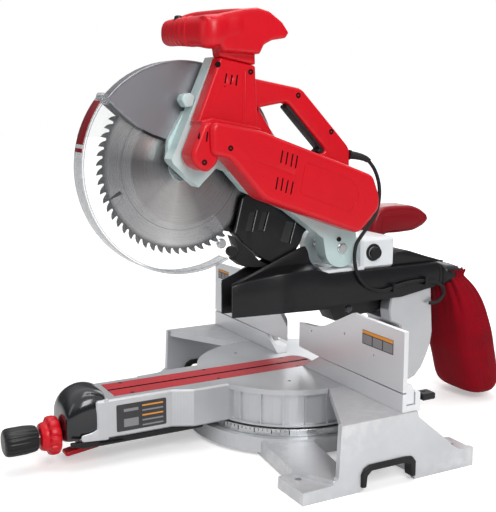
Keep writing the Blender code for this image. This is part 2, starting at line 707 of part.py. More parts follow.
def upper_guard():
    """A shell over the top of the blade, open below."""
    obj = cylinder("upper_guard", "X", (BLADE_Y, BLADE_Z), 178, -14, 14, GUARD_STEEL, 72)
    over = [
        (-440, 700), (-354, 600), (-304, 557), (-246, 533), (-180, 520), (-60, 474), (40, 474), (40, 760),
        (-440, 760),
    ]
    boolean(obj, flat("guard_cover", over, "YZ", -30, 30), "INTERSECT")
    cut(obj, cylinder("guard_room", "X", (BLADE_Y, BLADE_Z), 175, -11.5, 11.5, None, 72))
    hub = [(-250, 541), (-249, 529), (-180, 524), (-178, 570), (-230, 575)]
    join(obj, flat("guard_hub", hub, "YZ", -23, -12.8))


def covers():
    """The red plastic pieces."""
    flat("motor_housing", MOTOR, "YZ", 55, 112, RED, 9, 2)
    flat("column", COLUMN, "YZ", 55, 84, RED, 5, 1)
    outline = [
        (-116, 641), (-24, 625), (-16, 621), (79, 524), (84, 514), (84, 470), (-70, 530), (-113, 560),
    ]
    window = [(-104, 591), (-52, 600), (-46, 597), (28, 519), (28, 514), (18, 511), (-70, 538), (-75, 548)]
    carry = flat("carry_handle", outline, "YZ", 45, 72, RED)
    cut(carry, flat("carry_window", window, "YZ", 40, 80))
    pocket = [(-45.4, 593.4), (22.7, 521.6), (27.8, 526.8), (-40.3, 598.5)]
    cut(carry, flat("grip_pocket", pocket, "YZ", 47.7, 69.3))
    motor = [(-122, 555.4), (63, 489.4), (109, 472.4), (109, 400), (-122, 400)]
    cut(carry, flat("motor_top_room", motor, "YZ", 54, 113))
    case = [(60, 450.3), (-29.8, 498.4), (-65.7, 546.2), (-93.7, 585.2), (-105.7, 602.2), (-113.7, 668)]
    cut(carry, flat("case_room", [(-130, 668), (-130, 400), (60, 400), *case], "YZ", 23, 54.9))
    cut(carry, flat("column_room", [(-130, 670), (-116.7, 670), (-113.7, 540), (-130, 540)], "YZ", 54, 90))
    flat("carry_grip", [(-43.6, 594.7), (24, 523.4), (27.3, 526.7), (-40.2, 598)], "YZ", 48, 69, RUBBER)


def top_handle():
    plan = [
        (-62, -244), (-78, -228), (-78, -190), (-60, -150), (-20, -124), (34, -108), (70, -72), (86, -60),
        (100, -64), (108, -110), (108, -212), (92, -236),
    ]
    hole = [(-54, -206), (-54, -186), (-30, -154), (40, -138), (70, -152), (76, -206)]
    obj = flat("top_handle", plan, "XY", 692, 748, RED, 8, 2, holes=(hole[::-1],))
    join(obj, flat("handle_neck", [(-183, 673.6), (-186, 705), (-100, 705), (-117, 660.6)], "YZ", 56, 84))
    cut(obj, box("trigger_room", (-43, -220, 703), (63, -200, 737)))
    cut(obj, cylinder("button_room", "Z", (16, -228), 6.6, 737, 760, None, 20))
    box("trigger", (-42, -213, 704), (62, -200, 736), BLACK, 3)
    cylinder("lock_off_button", "Z", (16, -228), 6, 743, 755, BLACK, 20)


def deflector():
    """The black deflector behind the blade, and the rubber flap that folds when it enters the chute."""
    outline = [
        (-105, 436), (-121, 372), (-84, 337), (-70, 324), (-40, 307), (-20, 304), (16, 344), (22, 362),
        (50, 380), (20, 420), (-40, 446), (-60, 446),
    ]
    obj = flat("deflector", outline, "YZ", -15, 15, BLACK)
    cut(obj, cylinder("blade_slot", "X", (BLADE_Y, BLADE_Z), 157, -8, 8, None, 64))
    outline = [
        (-122.4, 366), (-112, 338), (-120, 322), (-104, 310), (-80, 306), (-46, 305), (-72, 319), (-86, 334),
    ]
    flat("dust_flap", outline, "YZ", -14, 14, RUBBER)


def blade():
    centre = (BLADE_Y, BLADE_Z)
    disc = cylinder("blade", "X", centre, BLADE_R, -1.2, 1.2, BLADE, 96)
    cut(disc, cylinder("blade_bore", "X", centre, 12.9, -5, 5, None, 28))
    origin_at(disc, (0, BLADE_Y, BLADE_Z))
    spindle = cylinder("spindle", "X", centre, 12.4, -1.5, 44, STEEL, 28)
    join(spindle, cylinder("inner_flange", "X", centre, 26, 1.6, 5, None, 28))
    for piece in (
        spindle,
        cylinder("outer_flange", "X", centre, 26, -5.2, -1.9, STEEL, 28),
        cylinder("arbor_bolt", "X", centre, 9, -10.8, -5.5, STEEL, 6),
    ):
        origin_at(piece, (0, BLADE_Y, BLADE_Z))


def lower_guard():
    """Two cheeks and a rim around the lower half of the blade, with the roller at its tail."""
    centre = (BLADE_Y, BLADE_Z)
    obj = cylinder("lower_guard", "X", centre, GUARD_R, -19, 19, CLEAR, 72)
    first, last = math.radians(139), math.radians(304)
    reach = 400
    count = 9
    wedge = [(BLADE_Y, BLADE_Z)]
    for k in range(count):
        angle = first + (last - first) * k / (count - 1)
        wedge.append((BLADE_Y + reach * math.cos(angle), BLADE_Z + reach * math.sin(angle)))
    boolean(obj, flat("guard_wedge", wedge, "YZ", -40, 40), "INTERSECT")
    cut(obj, cylinder("guard_inside", "X", centre, GUARD_R - 3, -16.2, 16.2, None, 72))
    cut(obj, cylinder("guard_opening", "X", centre, 97, -40, 40, None, 48))
    origin_at(obj, (0, BLADE_Y, BLADE_Z))
    angle = math.radians(-61)
    y, z = BLADE_Y + 172 * math.cos(angle), BLADE_Z + 172 * math.sin(angle)
    roller = cylinder("guard_roller", "X", (y, z), 9, 19.3, 33, RUBBER, 24)
    origin_at(roller, (26, y, z))


def lead():
    """The motor's lead: a loop to the chute's side, held by two clips, then down to the bevel arm."""
    x = 67
    loop = [
        (72, 113.4, 502.8), (72, 122, 497), (71, 139, 478), (70, 150, 452), (68, 153, 424), (x, 147, 397),
        (x, 132, 376), (x, 117, 359), (x, 105, 343), (x, 101, 325), (x, 102, 305), (x, 109, 284),
        (x, 124, 265), (x, 147, 252), (x, 168, 248), (x, 186, 250.6),
    ]
    run = [(x, 186.4, 250.7), (x, 206, 255), (x, 230, 258.5), (x, 256, 259), (x, 275, 258)]
    tail = [
        (x, 276, 257.9), (x, 288, 254), (x, 301, 250), (x, 313, 242), (x, 317, 231), (x, 312, 220),
        (x, 301, 213), (65, 290, 211), (61.6, 284, 211.5),
    ]
    for name, points in (("lead_loop", loop), ("lead_run", run), ("lead_tail", tail)):
        tube(name, smooth_route(points, 8), 3.4, RUBBER)
    for name, y, z in (("lead_clip_front", 192, 252.2), ("lead_clip_rear", 269, 258.4)):
        clip = box(name, (60.3, y - 4, z - 8), (73, y + 4, z + 7), BLACK)
        cut(clip, cylinder(name + "_bore", "Y", (x, z), 5, y - 10, y + 10, None, 16))
    cylinder("strain_relief", "Y", (66, 499), 7, 84.4, 110.8, RUBBER, 20)


def main():
    start()
    base()
    fences()
    turntable()
    kerf_plates()
    arm_end()
    bevel()
    carriage()
    bag()
    dust_bag()
    gear_case()
    upper_guard()
    covers()
    top_handle()
    deflector()
    blade()
    lower_guard()
    lead()
    share_origin(
        (0, PIVOT_Y, PIVOT_Z), "gear_case", "upper_guard", "motor_housing", "column", "carry_handle",
        "carry_grip", "top_handle", "deflector", "dust_flap", "strain_relief", "lead_loop",
    )
    share_origin((0, 220, BEVEL_Z), "linear_bearing_right", "linear_bearing_left")
    share_origin((10, -206, 720), "trigger")
    share_origin((16, -228, 748), "lock_off_button")
    share_origin((0, 0, 150), "upper_fence_right", "upper_fence_left")


main()
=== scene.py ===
"""The looks of a sliding compound miter saw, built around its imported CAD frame.

Frame: +X is the user's right, +Y points away from the user, +Z is up. Shapes are given in
millimetres, and MM turns them into metres.
"""

import math

import bmesh
import bpy
from mathutils import Matrix, Vector


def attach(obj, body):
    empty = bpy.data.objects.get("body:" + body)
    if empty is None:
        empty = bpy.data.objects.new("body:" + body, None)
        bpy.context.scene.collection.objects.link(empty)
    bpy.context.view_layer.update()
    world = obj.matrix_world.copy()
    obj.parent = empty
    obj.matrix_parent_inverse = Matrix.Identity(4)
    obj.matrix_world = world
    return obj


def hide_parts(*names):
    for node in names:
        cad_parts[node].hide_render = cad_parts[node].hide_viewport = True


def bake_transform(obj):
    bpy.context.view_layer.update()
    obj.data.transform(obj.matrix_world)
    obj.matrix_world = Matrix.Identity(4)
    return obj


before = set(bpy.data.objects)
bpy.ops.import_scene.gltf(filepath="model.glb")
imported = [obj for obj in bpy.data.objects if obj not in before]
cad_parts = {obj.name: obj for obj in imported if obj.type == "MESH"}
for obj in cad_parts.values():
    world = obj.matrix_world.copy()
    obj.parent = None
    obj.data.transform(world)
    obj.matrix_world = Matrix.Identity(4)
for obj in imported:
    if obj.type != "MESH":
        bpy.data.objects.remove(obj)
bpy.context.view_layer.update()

MM = 0.001
WELD = 1e-6
BLADE_Y, BLADE_Z = -217.0, 492.0
PIVOT_Y, PIVOT_Z = 80.0, 335.0
LOCK_Z = 52.0
FENCE_FACE = 10.95


# ---------------------------------------------------------------- materials


def connect(tree, node, inputs):
    """Links an input to a socket, or sets it to a plain value."""
    for key, value in inputs.items():
        if isinstance(value, bpy.types.NodeSocket):
            tree.links.new(value, node.inputs[key])
        else:
            node.inputs[key].default_value = value


def add(tree, kind, inputs=None, **settings):
    node = tree.nodes.new("ShaderNode" + kind)
    for key, value in settings.items():
        setattr(node, key, value)
    connect(tree, node, inputs or {})
    return node


def nodes_of(name):
    mat = bpy.data.materials.new(name)
    mat.use_nodes = True
    tree = mat.node_tree
    return mat, tree, tree.nodes["Principled BSDF"], add(tree, "TexCoord").outputs["Object"]


def stretched(tree, place, scale):
    return add(tree, "Mapping", {"Scale": scale, "Vector": place}).outputs["Vector"]


def noise(tree, place, scale, detail=3.0, rough=0.5):
    inputs = {"Scale": scale, "Detail": detail, "Roughness": rough, "Vector": place}
    return add(tree, "TexNoise", inputs).outputs["Fac"]


def remap(tree, value, low, high, start=0.3, stop=0.7):
    inputs = {"From Min": start, "From Max": stop, "To Min": low, "To Max": high, "Value": value}
    return add(tree, "MapRange", inputs).outputs["Result"]


def mixed(tree, factor, first, second, mode="MIX"):
    """A colour between two, each a colour or a socket."""
    colours = [c if isinstance(c, bpy.types.NodeSocket) else (*c, 1.0) for c in (first, second)]
    inputs = {0: factor, 6: colours[0], 7: colours[1]}
    return add(tree, "Mix", inputs, data_type="RGBA", blend_type=mode).outputs[2]


def bump(tree, shader, height, strength, distance):
    node = add(tree, "Bump", {"Strength": strength, "Distance": distance, "Height": height})
    tree.links.new(node.outputs["Normal"], shader.inputs["Normal"])


def shade(colour, gain):
    return tuple(min(1.0, c * gain) for c in colour)


def finish_material(
    name, colour, rough, metal=0.0, grain=(900.0, 0.05), blotch=0.06, spread=0.08, coat=0.0,
    stretch=(1, 1, 1), wear=0.0, worn=(0.8, 0.8, 0.8), specular=0.5, broad=14.0,
):
    """Paint, plastic or metal: a broad blotch in the colour, a fine grain in the surface, worn edges."""
    mat, tree, shader, place = nodes_of(name)
    wide = noise(tree, place, broad, 4.0)
    fine = noise(tree, stretched(tree, place, stretch), grain[0], 2.0)
    tones = shade(colour, 1 - blotch), shade(colour, 1 + blotch)
    colour_out = mixed(tree, remap(tree, wide, 0.0, 1.0), *tones)
    if wear:
        edge = remap(tree, add(tree, "NewGeometry").outputs["Pointiness"], 0.0, wear, 0.53, 0.62)
        patches = remap(tree, noise(tree, place, 60.0, 6.0), 0.0, 1.0, 0.42, 0.6)
        scuff = add(tree, "Math", {0: edge, 1: patches}, operation="MULTIPLY")
        colour_out = mixed(tree, scuff.outputs[0], colour_out, worn)
    connect(tree, shader, {
        "Base Color": colour_out, "Roughness": remap(tree, fine, rough - spread, rough + spread),
        "Metallic": metal, "Specular IOR Level": specular, "Coat Weight": coat, "Coat Roughness": 0.12,
    })
    bump(tree, shader, fine, grain[1], 0.0006)
    return mat


def radial(tree, place, centre):
    """How far a point is from an axis along X, in metres."""
    flat = add(tree, "VectorMath", {0: place, 1: (0, 1, 1)}, operation="MULTIPLY").outputs["Vector"]
    middle = (0, centre[0] * MM, centre[1] * MM)
    return add(tree, "VectorMath", {0: flat, 1: middle}, operation="DISTANCE").outputs["Value"]


def ramp(tree, value, stops):
    """A colour ramp over (place, colour) stops."""
    node = tree.nodes.new("ShaderNodeValToRGB")
    node.color_ramp.interpolation = "LINEAR"
    while len(node.color_ramp.elements) < len(stops):
        node.color_ramp.elements.new(1.0)
    for element, (place, colour) in zip(node.color_ramp.elements, stops):
        element.position = place
        element.color = (*colour, 1.0)
    tree.links.new(value, node.inputs["Fac"])
    return node.outputs["Color"]


def blade_material():
    """Ground steel: grinding marks in circles, a stamped ring, darker teeth, and a fan of painted highlights
    and painted shade.
    """
    mat, tree, shader, place = nodes_of("blade_steel_ground")
    far = radial(tree, place, (BLADE_Y, BLADE_Z))
    share = remap(tree, far, 0.0, 1.0, 0.0, 0.1524)
    steel, dark, ring = (0.86, 0.84, 0.83), (0.10, 0.095, 0.095), (0.26, 0.25, 0.25)
    bands = ramp(tree, share, [
        (0.0, steel), (0.715, steel), (0.72, ring), (0.727, steel), (0.88, steel), (0.925, dark), (1.0, dark),
    ])
    marks = add(tree, "TexNoise", {"Scale": 1400.0, "Detail": 3.0, "W": far}, noise_dimensions="1D")
    marks = marks.outputs["Fac"]
    blotch = noise(tree, place, 22.0, 5.0)
    colour = mixed(tree, remap(tree, blotch, 0.0, 0.25), bands, (0.55, 0.53, 0.52))
    # Painted highlights and painted shade: bright and dark sectors round the blade's centre, multiplied into
    # its colour.
    moved = add(tree, "Mapping", {"Location": (0, -BLADE_Y * MM, -BLADE_Z * MM), "Vector": place})
    turn = (0, math.radians(90), math.radians(24))
    turned = add(tree, "Mapping", {"Rotation": turn, "Vector": moved.outputs["Vector"]})
    fan = add(tree, "TexGradient", {"Vector": turned.outputs["Vector"]}, gradient_type="RADIAL")
    bright, plain = (1.0, 1.0, 1.0), (0.36, 0.36, 0.37)
    painted_highlight_fan = ramp(tree, fan.outputs["Fac"], [
        (0.0, plain), (0.10, bright), (0.20, plain), (0.34, (0.22, 0.22, 0.23)), (0.46, bright),
        (0.58, plain), (0.70, (0.75, 0.75, 0.75)), (0.84, (0.24, 0.24, 0.25)), (1.0, plain),
    ])
    connect(tree, shader, {
        "Base Color": mixed(tree, 1.0, colour, painted_highlight_fan, "MULTIPLY"), "Metallic": 1.0, "Anisotropic": 0.75,
        "Roughness": remap(tree, marks, 0.24, 0.4),
        "Tangent": add(tree, "Tangent", direction_type="RADIAL", axis="X").outputs["Tangent"],
    })
    bump(tree, shader, marks, 0.06, 0.0004)
    return mat


def clear_material(name, low, high, cloudy, plain):
    """Clear polycarbonate: nearly unseen face on, pale at its edges."""
    mat, tree, shader, place = nodes_of(name)
    facing = add(tree, "LayerWeight", {"Blend": 0.25}).outputs["Facing"]
    scuffs = noise(tree, stretched(tree, place, (1, 4, 4)), 90.0, 6.0)
    connect(tree, shader, {
        "Base Color": mixed(tree, remap(tree, scuffs, 0.0, 1.0), cloudy, plain),
        "Alpha": remap(tree, facing, low, high, 0.25, 0.95),
        "Roughness": remap(tree, scuffs, 0.04, 0.14), "Specular IOR Level": 0.9,
    })
    return mat


def table_material():
    """The turned table: faint rings round its axis, on a painted casting."""
    mat, tree, shader, place = nodes_of("turned_table")
    flat = add(tree, "VectorMath", {0: place, 1: (1, 1, 0)}, operation="MULTIPLY").outputs["Vector"]
    away = add(tree, "VectorMath", {0: flat}, operation="LENGTH").outputs["Value"]
    rings = add(tree, "TexNoise", {"Scale": 900.0, "W": away}, noise_dimensions="1D").outputs["Fac"]
    wide = noise(tree, place, 9.0, 4.0)
    colour = mixed(tree, remap(tree, wide, 0.0, 1.0), (0.50, 0.51, 0.53), (0.60, 0.61, 0.63))
    colour = mixed(tree, remap(tree, rings, 0.0, 0.35), colour, (0.70, 0.71, 0.72))
    inputs = {"Base Color": colour, "Roughness": remap(tree, rings, 0.3, 0.48), "Metallic": 0.75}
    connect(tree, shader, inputs)
    bump(tree, shader, rings, 0.05, 0.0004)
    return mat


def cloth_material():
    """Woven nylon: a fine plain weave, in broad lighter and darker patches, with a soft sheen."""
    mat, tree, shader, place = nodes_of("woven_nylon")
    inputs = {"Scale": 260.0, "Distortion": 0.6, "Detail": 1.0, "Vector": place}
    threads = [add(tree, "TexWave", inputs, bands_direction=axis) for axis in ("X", "Z")]
    weave = add(tree, "Math", {k: wave.outputs["Fac"] for k, wave in enumerate(threads)}, operation="MAXIMUM")
    wide = noise(tree, place, 12.0, 5.0, 0.6)
    base = mixed(tree, remap(tree, wide, 0.0, 1.0), (0.14, 0.0008, 0.005), (0.26, 0.0015, 0.009))
    raised = remap(tree, weave.outputs[0], 0.0, 0.35, 0.2, 1.0)
    connect(tree, shader, {
        "Base Color": mixed(tree, raised, base, (0.36, 0.002, 0.013)),
        "Roughness": remap(tree, wide, 0.7, 0.9),
        "Sheen Weight": 0.03, "Sheen Roughness": 0.4, "Specular IOR Level": 0.12,
    })
    bump(tree, shader, weave.outputs[0], 0.25, 0.0005)
    return mat


RED = finish_material("red_nylon", (0.62, 0.003, 0.012), 0.33, 0.0, (1400.0, 0.04), 0.04, specular=0.35)
# A darker copy of the red nylon: painted shade for red parts that sit in shade.
RED_PAINTED_SHADE = finish_material("red_nylon_shaded", (0.24, 0.002, 0.008), 0.34, 0.0, (1400.0, 0.05), specular=0.3)
KERF = finish_material("kerf_insert", (0.50, 0.012, 0.022), 0.42, 0.0, (500.0, 0.12), 0.12)
BLACK = finish_material("black_nylon", (0.009, 0.009, 0.0105), 0.34, 0.0, (1100.0, 0.10), 0.2, specular=0.32)
GLOSS_BLACK = finish_material("black_gloss", (0.010, 0.011, 0.013), 0.17, 0.0, (700.0, 0.03), coat=0.3)
RUBBER = finish_material(
    "black_rubber_moulded", (0.012, 0.012, 0.013), 0.55, 0.0, (1600.0, 0.2), 0.2, specular=0.3,
)
# Near black: painted shade on the walls of cut vents, holes and the kerf, and the colour of the small screw
# heads.
SHADE_AND_SCREW_BLACK = finish_material("unlit_recess", (0.006, 0.006, 0.006), 0.8, 0.0, (600.0, 0.1), specular=0.1)
MINT = finish_material(
    "mint_casting", (0.54, 0.69, 0.685), 0.36, 0.15, (420.0, 0.10), 0.05, wear=0.4, worn=(0.86, 0.9, 0.9),
)
PALE = finish_material("pale_casting", (0.80, 0.83, 0.85), 0.38, 0.1, (420.0, 0.10), 0.04)
SILVER = finish_material("silver_paint_satin", (0.60, 0.61, 0.63), 0.36, 0.65, (520.0, 0.10), 0.04, wear=0.5)
BASE = finish_material("silver_casting", (0.62, 0.63, 0.65), 0.38, 0.60, (380.0, 0.14), 0.05, wear=0.5)
FENCE = finish_material(
    "fence_milled", (0.80, 0.81, 0.83), 0.36, 0.5, (500.0, 0.015), 0.02, stretch=(0.1, 1, 2), broad=5.0,
)
STEEL = finish_material("turned_steel", (0.58, 0.59, 0.60), 0.24, 1.0, (800.0, 0.08), stretch=(1, 0.15, 1))
GUARD = finish_material(
    "guard_pressed", (0.27, 0.265, 0.285), 0.38, 0.7, (420.0, 0.006), 0.03, spread=0.03, broad=5.0,
)
TABLE = table_material()
BLADE = blade_material()
CLEAR = clear_material("clear_polycarbonate", 0.05, 0.70, (0.70, 0.76, 0.80), (0.84, 0.88, 0.91))
CLEAR_RIM = clear_material("clear_polycarbonate_rim", 0.40, 0.85, (0.30, 0.32, 0.34), (0.42, 0.44, 0.46))
CLOTH = cloth_material()
LABEL = finish_material("label_dark", (0.035, 0.035, 0.038), 0.45, 0.0, (900.0, 0.05), 0.15)
ORANGE = finish_material("label_orange", (0.80, 0.30, 0.03), 0.5, 0.0, (900.0, 0.05))
GREY = finish_material("label_grey", (0.24, 0.24, 0.25), 0.5, 0.0, (900.0, 0.05))

# ---------------------------------------------------------------- camera, lights and floor


def new_object(name, data):
    obj = bpy.data.objects.new(name, data)
    bpy.context.scene.collection.objects.link(obj)
    return obj


def set_world():
    """White behind the saw, a soft grey dome on it, and dark bands for its shiny parts to mirror."""
    world = bpy.data.worlds.new("studio")
    bpy.context.scene.world = world
    world.use_nodes = True
    tree = world.node_tree
    tree.nodes.clear()
    way = add(tree, "TexCoord").outputs["Generated"]
    height = add(tree, "SeparateXYZ", {0: way}).outputs["Z"]
    sky = ramp(tree, remap(tree, height, 0.0, 1.0, -0.3, 1.0), [
        (0.0, (0.6, 0.6, 0.6)), (0.3, (0.42, 0.42, 0.43)), (0.55, (0.72, 0.72, 0.72)), (1.0, (1.0, 1.0, 1.0)),
    ])
    mirrored = ramp(tree, remap(tree, height, 0.0, 1.0, -1.0, 1.0), [
        (0.0, (0.30, 0.30, 0.30)), (0.46, (0.42, 0.42, 0.42)), (0.52, (0.10, 0.10, 0.105)),
        (0.66, (0.16, 0.16, 0.165)), (0.80, (0.85, 0.85, 0.86)), (1.0, (1.0, 1.0, 1.0)),
    ])
    seen = add(tree, "Background", {"Color": (1, 1, 1, 1)}).outputs[0]
    lit = add(tree, "Background", {"Color": sky, "Strength": 0.40}).outputs[0]
    gloss = add(tree, "Background", {"Color": mirrored, "Strength": 1.0}).outputs[0]
    ray = add(tree, "LightPath").outputs
    unseen = add(tree, "MixShader", {0: ray["Is Glossy Ray"], 1: lit, 2: gloss}).outputs[0]
    both = add(tree, "MixShader", {0: ray["Is Camera Ray"], 1: unseen, 2: seen}).outputs[0]
    add(tree, "OutputWorld", {"Surface": both})


def lay_floor():
    """White paper that catches the shadows and glows into the white behind it, for the camera only."""
    bm = bmesh.new()
    bmesh.ops.create_circle(bm, cap_ends=True, radius=14.0, segments=96)
    mesh = bpy.data.meshes.new("floor")
    bm.to_mesh(mesh)
    bm.free()
    floor = new_object("floor", mesh)
    mat, tree, shader, place = nodes_of("floor_paper")
    tone = remap(tree, noise(tree, place, 3.0), 0.0, 1.0)
    away = add(tree, "VectorMath", {0: place}, operation="LENGTH").outputs["Value"]
    strength = remap(tree, away, 0.36, 0.9, 0.5, 2.2)
    camera_ray = add(tree, "LightPath").outputs["Is Camera Ray"]
    glow = add(tree, "Math", {0: strength, 1: camera_ray}, operation="MULTIPLY").outputs[0]
    connect(tree, shader, {
        "Base Color": mixed(tree, tone, (0.90, 0.90, 0.90), (0.93, 0.93, 0.93)), "Roughness": 0.9,
        "Specular IOR Level": 0.1, "Emission Color": (1, 1, 1, 1), "Emission Strength": glow,
    })
    mesh.materials.append(mat)


def studio():
    camera = bpy.data.cameras.new("camera")
    camera.lens = 63.83
    camera.sensor_width = 36.0
    camera.clip_end = 50.0
    eye = new_object("camera", camera)
    eye.location = (1.4273, -0.8584, 0.6028)
    eye.rotation_euler = (math.radians(90 - 9.7), 0, math.radians(61.6))
    bpy.context.scene.camera = eye
    set_world()
    for name, place, aim, size, power in (
        ("key", (1.9, -0.35, 1.5), (0, -0.05, 0.3), (0.9, 1.1), 29),
        ("front", (0.3, -2.2, 1.1), (0, 0, 0.3), (0.7, 1.4), 4),
        ("top", (-0.2, 0.1, 2.4), (0, 0, 0.2), (1.5, 1.5), 25),
        ("rear", (-1.6, 1.6, 1.4), (0, 0, 0.35), (1.2, 1.6), 14),
    ):
        light = bpy.data.lights.new(name, "AREA")
        light.shape = "RECTANGLE"
        light.size, light.size_y = size
        light.energy = power
        lamp = new_object(name, light)
        lamp.location = place
        lamp.rotation_euler = (Vector(aim) - Vector(place)).to_track_quat("-Z", "Y").to_euler()
    lay_floor()
    bpy.context.scene.view_settings.view_transform = "Standard"


studio()

# ---------------------------------------------------------------- shapes


def soften(points, radius, steps=4):
    """The closed outline with each corner rounded. A radius may be one number or one for each corner."""
    count = len(points)
    radii = radius if isinstance(radius, (list, tuple)) else [radius] * count
    out = []
    for k, (point, r) in enumerate(zip(points, radii)):
        here = Vector(point)
        before, after = Vector(points[k - 1]) - here, Vector(points[(k + 1) % count]) - here
        reach = min(r, 0.45 * before.length, 0.45 * after.length)
        if reach < 0.05:
            out.append(tuple(here))
            continue
        a, b = here + before.normalized() * reach, here + after.normalized() * reach
        for s in range(steps + 1):
            t = s / steps
            out.append(tuple(a * (1 - t) ** 2 + here * 2 * t * (1 - t) + b * t**2))
    return out


def arc(centre, radius, start, end, count):
    a, b = centre
    angles = [math.radians(start + (end - start) * k / (count - 1)) for k in range(count)]
    return [(a + radius * math.cos(t), b + radius * math.sin(t)) for t in angles]


def box(a0, a1, b0, b1):
    return [(a0, b0), (a1, b0), (a1, b1), (a0, b1)]


def clamp(value, low=0.0):
    return max(low, min(1.0, value))


def oval(k, count, power):
    """One point of a unit superellipse: the higher the power, the squarer it is."""
    angle = math.tau * k / count
    c, s = math.cos(angle), math.sin(angle)
    reach = (abs(c) ** power + abs(s) ** power) ** (-1 / power)
    return reach * c, reach * s


def eased(p0, p1, p2, p3, t):
    """The place at t on the smooth curve from p1 to p2."""
    bend, twist = 2 * p0 - 5 * p1 + 4 * p2 - p3, 3 * p1 - p0 - 3 * p2 + p3
    return 0.5 * (2 * p1 + (p2 - p0) * t + bend * t**2 + twist * t**3)


def smooth_route(points, step=None, count=1):
    """A smooth curve through points, as places about a step apart or a count of them to each stretch."""
    places = [Vector(p) for p in points]
    places = [places[0] * 2 - places[1], *places, places[-1] * 2 - places[-2]]
    route = []
    for p0, p1, p2, p3 in zip(places, places[1:], places[2:], places[3:]):
        parts = max(1, round((p2 - p1).length / step)) if step else count
        route += [eased(p0, p1, p2, p3, k / parts) for k in range(parts)]
    return [*route, places[-2]]


def new_mesh_object(name, bm):
    mesh = bpy.data.meshes.new(name)
    bmesh.ops.recalc_face_normals(bm, faces=bm.faces)
    bm.to_mesh(mesh)
    bm.free()
    return new_object(name, mesh)


def edit(obj, change):
    """Runs one change on an object's mesh."""
    bm = bmesh.new()
    bm.from_mesh(obj.data)
    change(bm)
    bm.to_mesh(obj.data)
    bm.free()


def smooth(obj, angle=35):
    obj.data.shade_smooth()
    obj.data.set_sharp_from_angle(angle=math.radians(angle))
    return obj


def join_meshes(obj, *others):
    """Puts other objects' meshes into this one, and uses them up."""
    edit(obj, lambda bm: [bm.from_mesh(other.data) for other in others])
    for other in others:
        bpy.data.objects.remove(other)
    return smooth(obj)


def modify(obj, name, kind, **settings):
    mod = obj.modifiers.new(name, kind)
    for key, value in settings.items():
        setattr(mod, key, value)


def evaluated(obj):
    bpy.context.view_layer.update()
    return bpy.data.meshes.new_from_object(obj.evaluated_get(bpy.context.evaluated_depsgraph_get()))


def apply_all(obj):
    """Turns an object's evaluated shape into its own mesh."""
    mesh = evaluated(obj)
    obj.modifiers.clear()
    obj.data = mesh
    return obj


def subdivide(obj, angle):
    modify(obj, "soft", "SUBSURF", levels=1, render_levels=1)
    return smooth(apply_all(obj), angle)


TURNS = {
    "XY": Matrix.Identity(4),
    "YZ": Matrix(((0, 0, 1, 0), (1, 0, 0, 0), (0, 1, 0, 0), (0, 0, 0, 1))),
    "XZ": Matrix(((1, 0, 0, 0), (0, 0, -1, 0), (0, 1, 0, 0), (0, 0, 0, 1))),
}
AXES = {
    "X": Matrix.Rotation(math.radians(90), 4, "Y"),
    "Y": Matrix.Rotation(math.radians(-90), 4, "X"),
    "Z": Matrix.Identity(4),
}


def signed_area(points):
    return sum(a[0] * b[1] - b[0] * a[1] for a, b in zip(points, points[1:] + points[:1])) / 2


def curve_of(name, dimensions, depth, resolution, rings, closed):
    """A curve of straight stretches through each ring of places, which are in metres."""
    curve = bpy.data.curves.new(name, "CURVE")
    curve.dimensions = dimensions
    curve.bevel_depth = depth * MM
    curve.bevel_resolution = resolution
    for ring in rings:
        spline = curve.splines.new("POLY")
        spline.points.add(len(ring) - 1)
        for point, place in zip(spline.points, ring):
            point.co = (*place, 1)
        spline.use_cyclic_u = closed
    return curve


def curve_mesh(name, curve):
    guide = new_object(name, curve)
    mesh = evaluated(guide)
    bpy.data.objects.remove(guide)
    bm = bmesh.new()
    bm.from_mesh(mesh)
    bmesh.ops.remove_doubles(bm, verts=bm.verts, dist=WELD)
    return bm


def slab(name, outline, plane, low, high, edge=1.0, holes=(), steps=3):
    """An outline made solid between two places on the third axis, with a rounded rim."""
    rings = []
    for k, ring in enumerate((outline, *holes)):
        ring = [(a * MM, b * MM, 0) for a, b in ring]
        rings.append(ring if (signed_area(ring) > 0) == (k == 0) else ring[::-1])
    curve = curve_of(name, "2D", edge, steps, rings, True)
    curve.fill_mode = "BOTH"
    curve.extrude = max(((high - low) / 2 - edge) * MM, 0.0)
    curve.offset = -edge * MM
    bm = curve_mesh(name, curve)
    middle = (low + high) / 2 * MM
    shift = {"XY": (0, 0, middle), "YZ": (middle, 0, 0), "XZ": (0, middle, 0)}[plane]
    bm.transform(Matrix.Translation(shift) @ TURNS[plane])
    bm.normal_update()
    bmesh.ops.dissolve_limit(bm, angle_limit=0.002, verts=bm.verts, edges=bm.edges)
    return smooth(new_mesh_object(name, bm))


def lathe(name, axis, centre, profile, steps=48):
    """A closed or open profile of (radius, place along the axis) turned full circle."""
    bm = bmesh.new()
    turns = [(math.cos(math.tau * k / steps), math.sin(math.tau * k / steps)) for k in range(steps)]
    rings = []
    for r, h in profile:
        spread = turns if r else [(0, 0)]
        rings.append([bm.verts.new((r * MM * c, r * MM * s, h * MM)) for c, s in spread])
    for a, b in zip(rings, rings[1:]):
        for k in range(steps):
            q = (k + 1) % steps
            corners = [a[k % len(a)], a[q % len(a)], b[q % len(b)], b[k % len(b)]]
            unique = list(dict.fromkeys(corners))
            if len(unique) > 2:
                bm.faces.new(unique)
    a, b = centre
    place = {"X": (0, a, b), "Y": (a, 0, b), "Z": (a, b, 0)}[axis]
    bm.transform(Matrix.Translation(Vector(place) * MM) @ AXES[axis])
    return smooth(new_mesh_object(name, bm))


def loft(name, sections, caps=True):
    """Skin over sections, each a closed ring of the same number of points in space."""
    bm = bmesh.new()
    rings = [[bm.verts.new(Vector(p) * MM) for p in ring] for ring in sections]
    for a, b in zip(rings, rings[1:]):
        for k in range(len(a)):
            q = (k + 1) % len(a)
            bm.faces.new((a[k], a[q], b[q], b[k]))
    if caps:
        bm.faces.new(rings[0][::-1])
        bm.faces.new(rings[-1])
    return smooth(new_mesh_object(name, bm), 50)


